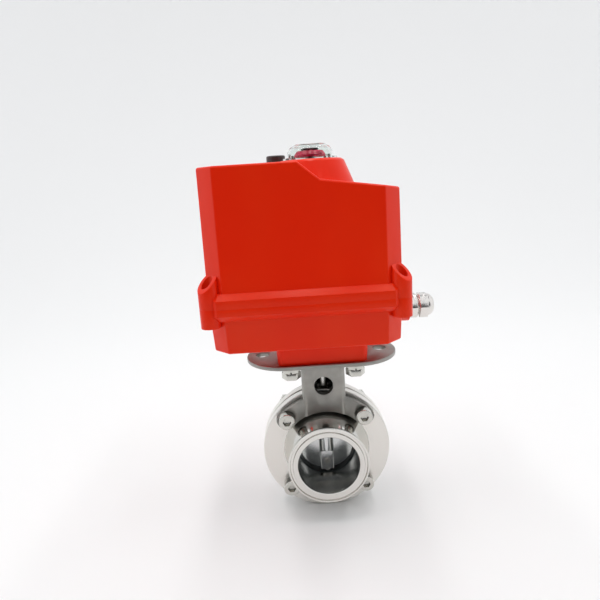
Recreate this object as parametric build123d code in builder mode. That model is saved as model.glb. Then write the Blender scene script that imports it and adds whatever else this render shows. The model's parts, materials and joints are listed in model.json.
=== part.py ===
"""Motorized quarter-turn valve: an electric actuator bolted through a bracket
to a two inch sanitary butterfly valve.

Millimetres.  The origin is where the stem axis crosses the pipe axis.
+Z runs up the stem, Y runs along the pipe, and X runs across the valve.
"""
from build123d import *
from math import atan2, cos, degrees, pi, radians, sin, sqrt, tan
import os

os.makedirs("parts", exist_ok=True)

# ---------------------------------------------------------------- clearances
RUN = 0.05        # radial running clearance of a shaft in its bush
SEAT = 0.02       # radial gap of pieces that sit in each other and never turn
FREE = 0.30       # radial gap where a turning piece only passes something

# -------------------------------------------------------------- butterfly valve
FACE_TO_FACE = 76.0        # ferrule face to ferrule face
BORE_R = 24.3              # 51 x 1.2 tube
FLANGE_EDGE = 8.5          # flange rim outside the bolt circle
FLANGE_T = 8.0             # thickness of one flange
SPLIT_GAP = 2.0            # gap between the halves, held open by the seat
TUBE_WALL = 2.7            # wall of the tube behind the ferrule
HUB_RISE = 8.4             # the polished cone is this much larger at its foot than the tube
FERRULE_LIP = 7.7          # bore to rim: a 64 mm tri-clamp ferrule
RIM_ROUND = 0.8            # rounding of the flange rims
RIM_T = 2.85               # thickness of the ferrule at its rim
FERRULE_SLOPE = 20.0       # back slope of the ferrule that the clamp pulls on
HUB_LENGTH = 20.0          # length of the cone along the pipe
GROOVE_IN = 5.0            # middle of the gasket groove, outside the bore
GROOVE_HALF = 1.3
GROOVE_DEPTH = 1.2
SEAT_HALF = 7.0            # half width of the rubber seat
SEAT_THICK = 4.7           # thick part of the seat, outside the bore
SEAT_PROUD = 0.7           # how far the seat stands into the bore
WEB_OUT = 10.0             # the thin web between the flanges reaches this far past that
DISC_GAP = 0.4             # disc edge to seat
DISC_T = 4.0
BARREL_WALL = 1.4          # wall of the stem barrel across the disc
BARREL_HALF = 20.0
BLOCK_HALF_X = 5.6         # block on the barrel that the disc screw goes through
BLOCK_PROUD = 0.2
BLOCK_TOP = -4.5
BLOCK_FOOT = -20.5
STEM_R = 5.0
STEM_BUSH_WALL = 3.0
STEM_BUSH_L = 17.0
STEM_FOOT = 45.0           # how far the stem reaches below the pipe axis
DISC_SCREW_R = 2.5
DISC_SCREW_PROUD = 0.4
DISC_SCREW_Z = -13.0

BODY_BOLT_PCD = 88.0
BODY_BOLT_R = 4.0          # M8
BODY_BOLT_HEAD_R = 6.5
BODY_BOLT_HEAD_H = 8.0
BODY_BOLT_CHAMFER = 0.6
BOLT_PAST_NUT = 1.5
SOCKET_R = 3.4
NUT_FLATS = 13.0           # across flats, M8
NUT_H = 6.5
BOLT_HOLE_GAP = 0.3

# -------------------------------------------------------------------- bracket
PLATE_Z = 78.6             # underside of the top plate
PLATE_T = 3.3
PLATE_HALF_X = 60.3
PLATE_HALF_Y = 33.0
SPARE_HOLE_X = 47.6
SPARE_HOLE_R = 5.5
NECK_HALF_X = 17.4
NECK_HALF_Y = 17.0
NECK_WALL = 5.0
NECK_ROUND = 4.0
WINDOW_Z = 58.5            # round window through the neck
WINDOW_R = 7.6
LEG_HUB_GAP = 0.8          # concave edge of the legs, round the hub
LEG_EDGE = 2.5             # the legs end this far inside the flange rim
LEG_SPAN = 98.0            # degrees of arc of each leg
LEG_LUG_R = 8.6            # round end of a leg at a bolt
SPOT_R = 7.6               # spot face for a bolt head in a leg
SPOT_DEPTH = 3.0
LEG_GAP = 0.2              # leg to flange rim

# ----------------------------------------------- actuator bolts, ISO 5211 F07
F07_PCD = 70.0
F07_BOLT_R = 4.0           # M8
F07_HEAD_FLATS = 13.0
F07_HEAD_H = 5.3
F07_BITE = 11.0            # thread length in the housing
FLAT_WASHER_R = 8.0
FLAT_WASHER_T = 1.4
SPRING_WASHER_R = 6.6
SPRING_WASHER_T = 2.0

# ------------------------------------------------------------------- housing
HOUSING_X = -10.4          # the housing is not centred on the stem
PAD_HALF_X = 34.0
PAD_HALF_Y = 30.0
PAD_H = 18.2
BASE_H = 34.4              # base floor to the joint with the cover
COVER_H = 96.7             # joint to the high top
WALL = 3.5
FLOOR_T = 4.0
BODY_HALF_X = 70.2         # housing walls at the joint
BODY_HALF_Y = 51.5
BODY_CORNER = 12.2         # corner chamfer in plan
CORNER_ROUND = 2.0         # rounding of the upright edges
BASE_DRAFT = 3.0           # degrees
DRAFT_ROOM = 1.6           # the base is straight inside, so it keeps clear of the drafted wall
COVER_DRAFT = 0.5
BAND_HALF_X = 74.6         # joint band round the housing
BAND_HALF_Y = 56.0
BAND_CORNER = 12.5
BAND_DOWN = 9.4            # band below the joint
BAND_UP = 10.3             # band above the joint
BAND_BEVEL = 4.4
EAR_X = 68.0               # screw ears at the corners, from the housing centre
EAR_Y = 47.5
EAR_R = 7.2
EAR_DOWN = 14.0
EAR_UP = 18.6              # height of the sloped top over the screw axis
EAR_SLOPE = 44.0           # degrees
STEP_HIGH_X = -11.0        # where the high top starts to slope down
STEP_LOW_X = 4.0           # foot of that slope
STEP_DROP = 12.6
LOW_SLOPE = 8.8            # degrees, fall of the low top towards the cable side
TURRET_R = 25.5            # round turret over the stem
TURRET_FOOT_R = 31.4
TURRET_FOOT_DROP = 16.0
TURRET_RISE = 2.0          # turret top over the high top
GASKET_T = 1.2
GASKET_W = 2.4

COVER_SCREW_R = 2.0        # M4 socket head
COVER_SCREW_HEAD_R = 3.5
COVER_SCREW_HEAD_H = 4.0
COVER_SCREW_KEY = 3.0      # across flats of its socket
COVER_SCREW_SHOULDER = 8.0 # head seat over the joint
COVER_SCREW_BITE = 11.0
EAR_HOLE_R = 4.2

# ---------------------------------------------------------------- cable gland
GLAND_Z = 15.5             # gland axis over the base floor underside
GLAND_BOSS_R = 12.0
GLAND_BOSS_L = 11.5
GLAND_THREAD_R = 8.0       # M16
GLAND_FLATS = 18.0
GLAND_HEX_L = 7.0
GLAND_WAIST_R = 7.6
GLAND_WAIST_L = 9.4
GLAND_NUT_L = 12.0
GLAND_HOLE_R = 4.4
GLAND_SLEEVE_R = 6.2
LOCKNUT_T = 3.5

# ------------------------------------------------------------------- gearing
PRESSURE_ANGLE = 20.0
STUB = 0.75                # tip height of the large gears, in modules
BACKLASH = 0.12            # taken off each tooth at the pitch circle, in modules
PINION_TEETH = 12
OUTPUT_MODULE = 1.25
OUTPUT_TEETH = 48
SECOND_MODULE = 0.8
SECOND_TEETH = 45
FIRST_MODULE = 0.6
FIRST_TEETH = 48
OVERRIDE_ANGLE = 135.0     # direction of the override shaft from the stem
INTERMEDIATE_ANGLE = 200.0 # direction of the intermediate shaft from the override
MOTOR_ANGLE = 270.0        # direction of the motor from the intermediate shaft

OUTPUT_JOURNAL_R = 15.0
OUTPUT_GEAR_SEAT_R = 12.5
OUTPUT_UPPER_R = 8.0
CAM_SEAT_R = 6.0
INDICATOR_SHAFT_R = 3.5
DRIVE_SQUARE = 14.0        # square drive between coupling and output shaft
DRIVE_GAP = 0.1
DRIVE_DEPTH = 25.0
STEM_SQUARE = 7.0          # square end of the valve stem
STEM_SQUARE_L = 11.0
COUPLING_R = 10.8
BUSH_WALL = 2.5
OVERRIDE_R = 4.0
OVERRIDE_HEX = 6.0
INTERMEDIATE_R = 2.5
MOTOR_SHAFT_R = 2.0

OUTPUT_GEAR_Z = 9.0        # heights over the underside of the base floor
OUTPUT_GEAR_T = 10.0
SECOND_GEAR_Z = 25.0
SECOND_GEAR_T = 6.0
FIRST_GEAR_Z = 35.0
FIRST_GEAR_T = 4.0
GEAR_PLATE_Z = 42.5
GEAR_PLATE_T = 3.0

MOTOR_R = 19.5
GEARBOX_H = 20.0
MOTOR_H = 48.0
MOTOR_BOSS_R = 6.0
MOTOR_BOSS_H = 2.0
MOTOR_SHAFT_IN = 6.0       # motor shaft inside the gearbox
CAPACITOR_R = 8.0
CAPACITOR_L = 32.0
CAM_R = 12.5
CAM_LOBE_R = 15.0
CAM_T = 6.0
CAM_Z = 6.0                # first cam over the gear plate
CAM_STEP = 9.0
SWITCH_L = 20.0
SWITCH_W = 10.2
SWITCH_T = 6.4
BUTTON_R = 1.3
BUTTON_PROUD = 1.5
BUTTON_DEEP = 3.0          # button inside its switch at rest
BUTTON_ROOM = 4.5          # depth of its hole, which leaves 1.5 mm behind it

# ---------------------------------------------------------- top of the cover
DOME_R = 16.6
DOME_H = 11.4
DOME_WALL = 1.6
DOME_FLANGE_R = 20.5
DOME_FLANGE_T = 1.6
DOME_TOP_R = 13.2
DRUM_R = 12.0
DRUM_TOP_R = 10.0
DRUM_H = 4.6
KNOB_R = 5.6               # dark cap on the drum
KNOB_H = 2.2
KNOB_FLARE = 30.0          # degrees
CAP_R = 7.6
CAP_TALL = 5.6
CAP_BOSS_R = 8.8
CAP_BOSS_H = 2.4
NAMEPLATE_Y = 56.0
NAMEPLATE_Z = 30.0
NAMEPLATE_T = 0.6
NAMEPLATE_SUNK = 0.4
NAMEPLATE_UP = 40.0        # middle of the plate over the joint

# ------------------------------------------------- small screws and the board
SMALL_SCREW_R = 1.5        # M3, gear plate
SMALL_HEAD_R = 2.9
SMALL_HEAD_H = 2.2
SPACER_R = 4.0
SPACER_SEAT_H = 2.0        # seats of the spacers over the base floor
BOARD_SCREW_R = 1.25       # M2.5
BOARD_HEAD_R = 2.4
BOARD_HEAD_H = 1.8
BOARD_UP = 27.0            # board over the underside of the base floor
BOARD_HALF_X = 9.0
BOARD_HALF_Y = 38.0
BOARD_T = 1.6
BOARD_POST_R = 3.5
BOARD_POST_IN = 4.0        # screw to the end of the board
BOARD_GAP = 2.7            # board edge to the wall
TERMINAL_W = 11.0
TERMINAL_L = 52.0
TERMINAL_H = 12.0
TERMINALS = 7
TERMINAL_PITCH = 7.0
TERMINAL_SCREW_R = 2.2
DOME_SCREW_R = 1.0
DOME_SCREW_HEAD_R = 1.7
DOME_SCREW_HEAD_H = 1.3

# ============================================================ derived places
FLANGE_R = BODY_BOLT_PCD / 2 + FLANGE_EDGE
FLANGE_OUT = SPLIT_GAP / 2 + FLANGE_T           # outer face of a flange, along Y
TUBE_R = BORE_R + TUBE_WALL
HUB_R = TUBE_R + HUB_RISE
FERRULE_R = BORE_R + FERRULE_LIP
GROOVE_R = BORE_R + GROOVE_IN
SEAT_R = BORE_R + SEAT_THICK
WEB_R = SEAT_R + WEB_OUT
BARREL_R = STEM_R + BARREL_WALL
STEM_BUSH_R = STEM_R + STEM_BUSH_WALL
NECK_BORE_R = NECK_HALF_Y - NECK_WALL
LEG_ARC_R = HUB_R + LEG_HUB_GAP
LEG_OUTER_R = FLANGE_R - LEG_EDGE
FERRULE_Y = FACE_TO_FACE / 2
SEAT_IN_R = BORE_R - SEAT_PROUD
DISC_R = SEAT_IN_R - DISC_GAP
BOLT_XZ = BODY_BOLT_PCD / 2 / sqrt(2)
SPOT_Y = NECK_HALF_Y - SPOT_DEPTH               # bolt head seat on a leg
F07_XY = F07_PCD / 2 / sqrt(2)
PLATE_TOP = PLATE_Z + PLATE_T
BASE_Z = PLATE_TOP + PAD_H                      # underside of the base floor
JOINT_Z = BASE_Z + BASE_H
TOP_Z = JOINT_Z + COVER_H
TURRET_Z = TOP_Z + TURRET_RISE
FLOOR_TOP = BASE_Z + FLOOR_T
PLATE_LOW = BASE_Z + GEAR_PLATE_Z
PLATE_HIGH = PLATE_LOW + GEAR_PLATE_T
EAR_POINTS = [(HOUSING_X + sx * EAR_X, sy * EAR_Y) for sx in (-1, 1) for sy in (-1, 1)]
F07_POINTS = [(sx * F07_XY, sy * F07_XY) for sx in (-1, 1) for sy in (-1, 1)]


def polar(origin, distance, angle):
    """Point at a distance and an angle in degrees from another point."""
    return (origin[0] + distance * cos(radians(angle)), origin[1] + distance * sin(radians(angle)))


def centres(module, teeth):
    """Distance between a gear and the pinion that drives it."""
    return module * (teeth + PINION_TEETH) / 2


OVERRIDE = polar((0, 0), centres(OUTPUT_MODULE, OUTPUT_TEETH), OVERRIDE_ANGLE)
INTERMEDIATE = polar(OVERRIDE, centres(SECOND_MODULE, SECOND_TEETH), INTERMEDIATE_ANGLE)
MOTOR = polar(INTERMEDIATE, centres(FIRST_MODULE, FIRST_TEETH), MOTOR_ANGLE)


def at(x, y, z):
    """A horizontal plane centred on a point."""
    return Plane(origin=(x, y, z), x_dir=(1, 0, 0), z_dir=(0, 0, 1))


def write(part, name):
    """Label a finished piece and write it under its own name."""
    part.label = name
    export_step(part, f"parts/{name}.step")


def involute(base_r, radius):
    """Polar angle, in radians, that an involute has reached at a radius."""
    roll = sqrt(max((radius / base_r) ** 2 - 1, 0))
    return roll - atan2(roll, 1)


def gear_outline(module, teeth, phase, tip_height=1.0):
    """Corner points of a spur gear with one tooth centred on phase, in degrees."""
    pitch_r = module * teeth / 2
    base_r = pitch_r * cos(radians(PRESSURE_ANGLE))
    root_r = pitch_r - 1.25 * module
    tip_r = pitch_r + tip_height * module
    half = (pi / 2 - BACKLASH) * module / 2 / pitch_r + involute(base_r, pitch_r)
    start_r = max(base_r, root_r)
    radii = [start_r + (tip_r - start_r) * step / 3 for step in range(4)]
    flank = [(radius, half - involute(base_r, radius)) for radius in radii]
    if root_r < base_r:
        flank.insert(0, (root_r, half))
    points = []
    for tooth in range(teeth):
        middle = radians(phase) + 2 * pi * tooth / teeth
        points += [(r * cos(middle - a), r * sin(middle - a)) for r, a in flank]
        points += [(r * cos(middle + a), r * sin(middle + a)) for r, a in reversed(flank)]
    return points


def hexagon(flats):
    """Corner radius of a hexagon from its width across flats."""
    return flats / 2 / cos(radians(30))


# ================================================================ valve body
def half_body_profile():
    """Half section of a body half: radius against distance from the pipe's middle."""
    slope_run = (FERRULE_R - 1.0 - TUBE_R) * tan(radians(FERRULE_SLOPE))
    rim_back = FERRULE_Y - RIM_T
    return [
        (BORE_R, SEAT_HALF), (SEAT_R + SEAT, SEAT_HALF), (SEAT_R + SEAT, SPLIT_GAP / 2),
        (FLANGE_R, SPLIT_GAP / 2), (FLANGE_R, FLANGE_OUT), (HUB_R, FLANGE_OUT),
        (TUBE_R, FLANGE_OUT + HUB_LENGTH), (TUBE_R, rim_back - slope_run - 0.6),
        (FERRULE_R - 1.0, rim_back), (FERRULE_R, rim_back + 0.8), (FERRULE_R, FERRULE_Y - 0.5),
        (FERRULE_R - 0.5, FERRULE_Y), (GROOVE_R + GROOVE_HALF, FERRULE_Y),
        (GROOVE_R + GROOVE_HALF - 0.5, FERRULE_Y - GROOVE_DEPTH),
        (GROOVE_R - GROOVE_HALF + 0.5, FERRULE_Y - GROOVE_DEPTH),
        (GROOVE_R - GROOVE_HALF, FERRULE_Y), (BORE_R + 0.3, FERRULE_Y), (BORE_R, FERRULE_Y - 0.3),
    ]


CHANNEL_TOP = SEAT_R + STEM_BUSH_L
with BuildPart() as front_body_half:
    with BuildSketch(Plane.XY):
        with BuildLine():
            Polyline([(r, -y) for r, y in half_body_profile()], close=True)
        make_face()
    revolve(axis=Axis.Y)
    rim = front_body_half.edges().filter_by(GeomType.CIRCLE)
    fillet(rim.filter_by(lambda e: abs(e.radius - FLANGE_R) < 0.01), RIM_ROUND)
    with BuildSketch(Plane.XZ):
        with PolarLocations(BODY_BOLT_PCD / 2, 4, start_angle=45):
            Circle(BODY_BOLT_R + BOLT_HOLE_GAP)
    extrude(amount=FACE_TO_FACE, both=True, mode=Mode.SUBTRACT)
    with BuildSketch(at(0, 0, -CHANNEL_TOP)):
        Circle(STEM_BUSH_R + SEAT)
    extrude(amount=CHANNEL_TOP - BORE_R, mode=Mode.SUBTRACT)
    with BuildSketch(at(0, 0, BORE_R)):
        Circle(STEM_BUSH_R + SEAT)
    extrude(amount=FLANGE_R, mode=Mode.SUBTRACT)
write(front_body_half.part, "front_body_half")

with BuildPart() as rear_body_half:
    add(front_body_half.part.mirror(Plane.XZ))
write(rear_body_half.part, "rear_body_half")

with BuildPart() as valve_seat:
    with BuildSketch(Plane.XY):
        with BuildLine():
            Polyline([
                (SEAT_IN_R, -SEAT_HALF + 1.6), (BORE_R, -SEAT_HALF + SEAT), (SEAT_R, -SEAT_HALF + SEAT),
                (SEAT_R, -SPLIT_GAP / 2 + SEAT), (WEB_R, -SPLIT_GAP / 2 + SEAT),
                (WEB_R, SPLIT_GAP / 2 - SEAT), (SEAT_R, SPLIT_GAP / 2 - SEAT),
                (SEAT_R, SEAT_HALF - SEAT), (BORE_R, SEAT_HALF - SEAT), (SEAT_IN_R, SEAT_HALF - 1.6),
            ], close=True)
        make_face()
    revolve(axis=Axis.Y)
    Cylinder(STEM_R + FREE, 2 * FLANGE_R, mode=Mode.SUBTRACT)
    for side in (-1, 1):
        with BuildSketch(at(0, 0, side * SEAT_R)):
            Circle(STEM_BUSH_R + SEAT)
        extrude(amount=side * FLANGE_R, mode=Mode.SUBTRACT)
write(valve_seat.part, "valve_seat")

with BuildPart() as stem_bushes:
    for side in (-1, 1):
        with BuildSketch(at(0, 0, side * SEAT_R)):
            Circle(STEM_BUSH_R)
            Circle(STEM_R + RUN, mode=Mode.SUBTRACT)
        extrude(amount=side * (STEM_BUSH_L - SEAT))
write(stem_bushes.part, "stem_bushes")

# The disc is a thin plate across the pipe with a barrel for the stem and, low on
# the barrel, a block where the screw that holds it to the stem goes through.
with BuildPart() as valve_disc:
    with BuildSketch(Plane.XZ):
        Circle(DISC_R)
    extrude(amount=DISC_T / 2, both=True)
    edge_ring = valve_disc.edges().filter_by(GeomType.CIRCLE)
    chamfer(edge_ring, DISC_T / 4)
    Cylinder(BARREL_R, 2 * BARREL_HALF)
    with BuildSketch(at(0, 0, BLOCK_FOOT)):
        RectangleRounded(2 * BLOCK_HALF_X, 2 * (BARREL_R + BLOCK_PROUD), 1.0)
    extrude(amount=BLOCK_TOP - BLOCK_FOOT)
    Cylinder(STEM_R + SEAT, 2 * FLANGE_R, mode=Mode.SUBTRACT)
    with BuildSketch(Plane.XZ):
        with Locations((0, DISC_SCREW_Z)):
            Circle(DISC_SCREW_R + SEAT)
    extrude(amount=2 * BARREL_R, both=True, mode=Mode.SUBTRACT)
write(valve_disc.part, "valve_disc")

STEM_TOP = PLATE_Z - 1.0
COUPLING_Z = STEM_TOP - STEM_SQUARE_L - 1.0
with BuildPart() as valve_stem:
    with BuildSketch(at(0, 0, -STEM_FOOT)):
        Circle(STEM_R)
    extrude(amount=STEM_FOOT + STEM_TOP)
    chamfer(valve_stem.edges().group_by(Axis.Z)[0], 0.6)
    with BuildSketch(at(0, 0, STEM_TOP - STEM_SQUARE_L)):
        Circle(2 * STEM_R)
        Rectangle(STEM_SQUARE, STEM_SQUARE, mode=Mode.SUBTRACT)
    extrude(amount=STEM_SQUARE_L + 1.0, mode=Mode.SUBTRACT)
    with BuildSketch(Plane.XZ):
        with Locations((0, DISC_SCREW_Z)):
            Circle(DISC_SCREW_R + SEAT)
    extrude(amount=2 * STEM_R, both=True, mode=Mode.SUBTRACT)
write(valve_stem.part, "valve_stem")

with BuildPart() as disc_screw:
    with BuildSketch(Plane.XZ.offset(-BARREL_R - BLOCK_PROUD)):
        with Locations((0, DISC_SCREW_Z)):
            Circle(DISC_SCREW_R)
    extrude(amount=2 * (BARREL_R + BLOCK_PROUD) + DISC_SCREW_PROUD)
    chamfer(disc_screw.edges().sort_by(Axis.Y)[0], 0.3)
write(disc_screw.part, "disc_screw")


def cap_screw(length):
    """Socket head cap screw whose head seat is at the origin and whose shank runs to +Y."""
    with BuildPart() as screw:
        with BuildSketch(Plane.XZ):
            Circle(BODY_BOLT_HEAD_R)
        extrude(amount=BODY_BOLT_HEAD_H)
        chamfer(screw.edges().sort_by(Axis.Y)[0], BODY_BOLT_CHAMFER)
        with BuildSketch(Plane.XZ.offset(BODY_BOLT_HEAD_H)):
            RegularPolygon(SOCKET_R, 6)
        extrude(amount=-BODY_BOLT_HEAD_H / 2, mode=Mode.SUBTRACT)
        with BuildSketch(Plane.XZ):
            Circle(BODY_BOLT_R)
        extrude(amount=-length)
    return screw.part


upper_bolt = cap_screw(2 * SPOT_Y + NUT_H + BOLT_PAST_NUT)
lower_bolt = cap_screw(2 * FLANGE_OUT + NUT_H + BOLT_PAST_NUT)

with BuildPart() as upper_body_bolts:
    with Locations((-BOLT_XZ, -SPOT_Y, BOLT_XZ), (BOLT_XZ, -SPOT_Y, BOLT_XZ)):
        add(upper_bolt)
write(upper_body_bolts.part, "upper_body_bolts")

with BuildPart() as lower_body_bolts:
    with Locations((-BOLT_XZ, -FLANGE_OUT, -BOLT_XZ), (BOLT_XZ, -FLANGE_OUT, -BOLT_XZ)):
        add(lower_bolt)
write(lower_body_bolts.part, "lower_body_bolts")

with BuildPart() as body_nuts:
    for up in (-1, 1):
        nut_y = SPOT_Y if up > 0 else FLANGE_OUT
        with BuildSketch(Plane.XZ.offset(-nut_y)):
            with Locations((-BOLT_XZ, up * BOLT_XZ), (BOLT_XZ, up * BOLT_XZ)):
                RegularPolygon(hexagon(NUT_FLATS), 6)
                Circle(BODY_BOLT_R + SEAT, mode=Mode.SUBTRACT)
        extrude(amount=-NUT_H)
write(body_nuts.part, "body_nuts")

# =================================================================== bracket
LEG_TOP = FLANGE_R + LEG_GAP
with BuildPart() as mounting_bracket:
    with BuildSketch(at(0, 0, PLATE_Z)):
        SlotOverall(2 * PLATE_HALF_X, 2 * PLATE_HALF_Y)
    extrude(amount=PLATE_T)
    fillet(mounting_bracket.edges().group_by(Axis.Z)[0], 0.6)
    fillet(mounting_bracket.edges().group_by(Axis.Z)[-1], 0.6)
    with BuildSketch(at(0, 0, LEG_ARC_R - 6)):
        RectangleRounded(2 * NECK_HALF_X, 2 * NECK_HALF_Y, NECK_ROUND)
    extrude(amount=PLATE_Z - LEG_ARC_R + 6)
    # the two legs: arcs round the hub that end in a lug at each upper bolt
    with BuildSketch(Plane.XZ):
        Circle(LEG_OUTER_R)
        Circle(LEG_ARC_R, mode=Mode.SUBTRACT)
        with BuildLine():
            Polyline([
                (0, 0), polar((0, 0), 90, 90 + LEG_SPAN / 2), (0, 120),
                polar((0, 0), 90, 90 - LEG_SPAN / 2),
            ], close=True)
        make_face(mode=Mode.INTERSECT)
        with Locations((-BOLT_XZ, BOLT_XZ), (BOLT_XZ, BOLT_XZ)):
            Circle(LEG_LUG_R)
        Circle(LEG_OUTER_R, mode=Mode.INTERSECT)
        Circle(LEG_ARC_R, mode=Mode.SUBTRACT)
    extrude(amount=NECK_HALF_Y - 1.0, both=True)
    with BuildSketch(Plane.XZ):
        Circle(LEG_ARC_R)
    extrude(amount=NECK_HALF_Y + 1, both=True, mode=Mode.SUBTRACT)
    with BuildSketch(Plane.XZ):
        Circle(LEG_TOP)
    extrude(amount=FLANGE_OUT + SEAT, both=True, mode=Mode.SUBTRACT)
    with BuildSketch(at(0, 0, LEG_ARC_R)):
        Circle(NECK_BORE_R)
    extrude(amount=PLATE_TOP, mode=Mode.SUBTRACT)
    with BuildSketch(Plane.XZ):
        with Locations((0, WINDOW_Z)):
            Circle(WINDOW_R)
    extrude(amount=NECK_HALF_Y + 1, mode=Mode.SUBTRACT)
    with BuildSketch(Plane.XZ):
        with Locations((-BOLT_XZ, BOLT_XZ), (BOLT_XZ, BOLT_XZ)):
            Circle(BODY_BOLT_R + BOLT_HOLE_GAP)
    extrude(amount=NECK_HALF_Y + 1, both=True, mode=Mode.SUBTRACT)
    for side in (-1, 1):
        with BuildSketch(Plane.XZ.offset(side * SPOT_Y)):
            with Locations((-BOLT_XZ, BOLT_XZ), (BOLT_XZ, BOLT_XZ)):
                Circle(SPOT_R)
        extrude(amount=side * SPOT_DEPTH * 2, mode=Mode.SUBTRACT)
    with BuildSketch(at(0, 0, PLATE_Z)):
        with Locations((-SPARE_HOLE_X, 0), (SPARE_HOLE_X, 0)):
            Circle(SPARE_HOLE_R)
        with Locations(*F07_POINTS):
            Circle(F07_BOLT_R + BOLT_HOLE_GAP)
    extrude(amount=PLATE_T, mode=Mode.SUBTRACT)
write(mounting_bracket.part, "mounting_bracket")

HEAD_Z = PLATE_Z - FLAT_WASHER_T - SPRING_WASHER_T
with BuildPart() as bracket_flat_washers:
    with BuildSketch(at(0, 0, PLATE_Z)):
        with Locations(*F07_POINTS):
            Circle(FLAT_WASHER_R)
            Circle(F07_BOLT_R + BOLT_HOLE_GAP, mode=Mode.SUBTRACT)
    extrude(amount=-FLAT_WASHER_T)
write(bracket_flat_washers.part, "bracket_flat_washers")

with BuildPart() as bracket_spring_washers:
    with BuildSketch(at(0, 0, HEAD_Z)):
        with Locations(*F07_POINTS):
            Circle(SPRING_WASHER_R)
            Circle(F07_BOLT_R + SEAT, mode=Mode.SUBTRACT)
        for x, y in F07_POINTS:
            with Locations(Location((x, y - SPRING_WASHER_R), 25)):
                Rectangle(0.9, 2 * F07_BOLT_R, mode=Mode.SUBTRACT)
    extrude(amount=SPRING_WASHER_T)
write(bracket_spring_washers.part, "bracket_spring_washers")

with BuildPart() as bracket_bolts:
    with BuildSketch(at(0, 0, HEAD_Z)):
        with Locations(*F07_POINTS):
            RegularPolygon(hexagon(F07_HEAD_FLATS), 6)
    extrude(amount=-F07_HEAD_H)
    chamfer(bracket_bolts.faces().sort_by(Axis.Z)[:4].edges(), 0.5)
    with BuildSketch(at(0, 0, HEAD_Z)):
        with Locations(*F07_POINTS):
            Circle(F07_BOLT_R)
    extrude(amount=PLATE_TOP - HEAD_Z + F07_BITE)
write(bracket_bolts.part, "bracket_bolts")

with BuildPart() as stem_coupling:
    with BuildSketch(at(0, 0, COUPLING_Z)):
        Circle(COUPLING_R)
    extrude(amount=PLATE_TOP + 0.6 - COUPLING_Z)
    chamfer(stem_coupling.edges().group_by(Axis.Z)[0], 0.8)
    with BuildSketch(at(0, 0, PLATE_TOP + 0.6)):
        RectangleRounded(DRIVE_SQUARE, DRIVE_SQUARE, 1.0)
    extrude(amount=DRIVE_DEPTH - 2.0)
    with BuildSketch(at(0, 0, COUPLING_Z)):
        Rectangle(STEM_SQUARE + 2 * SEAT, STEM_SQUARE + 2 * SEAT)
    extrude(amount=STEM_SQUARE_L + 1.2, mode=Mode.SUBTRACT)
    with BuildSketch(at(0, 0, COUPLING_Z)):
        Circle(STEM_R + SEAT)
    extrude(amount=1.0, mode=Mode.SUBTRACT)
write(stem_coupling.part, "stem_coupling")

# =================================================================== housing
def chamfered_plan(half_x, half_y, corner):
    """Corners of a rectangle with cut corners, in order."""
    return [
        (half_x - corner, -half_y), (half_x, -half_y + corner),
        (half_x, half_y - corner), (half_x - corner, half_y),
        (-half_x + corner, half_y), (-half_x, half_y - corner),
        (-half_x, -half_y + corner), (-half_x + corner, -half_y),
    ]


def gasket_line():
    """Middle line of the gasket, which runs in the wall."""
    return chamfered_plan(BODY_HALF_X - WALL / 2, BODY_HALF_Y - WALL / 2,
                          BODY_CORNER - WALL / 2 * tan(radians(22.5)))


def upright(edge):
    """True for an edge that runs mostly up and down."""
    return abs(edge.tangent_at(0.5).Z) > 0.9


def on_band(edge):
    """True for an edge of the joint band that lies outside the housing wall."""
    x = abs(edge.center().X - HOUSING_X)
    y = abs(edge.center().Y)
    return x > BODY_HALF_X or y > BODY_HALF_Y or x + y > BODY_HALF_X + BODY_HALF_Y - BODY_CORNER + 1


LOWER_BUSH_R = OUTPUT_JOURNAL_R + BUSH_WALL
GLAND_AXIS_Z = BASE_Z + GLAND_Z
SIDE_X = HOUSING_X + BODY_HALF_X                # outer wall on the cable side, at the joint
WALL_IN_X = SIDE_X - WALL - DRAFT_ROOM          # inside of that wall in the base
INSIDE_LEFT = HOUSING_X - BODY_HALF_X + WALL
INSIDE_Y = BODY_HALF_Y - WALL
BOARD_Z = BASE_Z + BOARD_UP
BOARD_X = WALL_IN_X - BOARD_GAP - BOARD_HALF_X
BOARD_POSTS = [(BOARD_X, side * (BOARD_HALF_Y - BOARD_POST_IN)) for side in (-1, 1)]
# the gear plate stands on four spacers, clear of the gears, and ends short of the walls
SPACERS = [(INSIDE_LEFT + 11.1, 15.0 - INSIDE_Y), (24.0, 12.0 - INSIDE_Y),
           (INSIDE_LEFT + 17.1, INSIDE_Y - 6.0), (24.0, INSIDE_Y - 12.0)]
PLATE_X0 = INSIDE_LEFT + 7.1
PLATE_X1 = 30.0
PLATE_Y0 = 6.0 - INSIDE_Y
PLATE_Y1 = INSIDE_Y - 2.0
INNER_CORNER = BODY_CORNER - WALL * tan(radians(22.5))

with BuildPart() as base_block:
    with BuildSketch(at(HOUSING_X, 0, JOINT_Z)):
        with BuildLine():
            Polyline(chamfered_plan(BODY_HALF_X, BODY_HALF_Y, BODY_CORNER), close=True)
        make_face()
    extrude(amount=-BASE_H, taper=BASE_DRAFT)
    fillet(base_block.edges().filter_by(upright), CORNER_ROUND)
    fillet(base_block.edges().group_by(Axis.Z)[0], 1.5)

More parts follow.
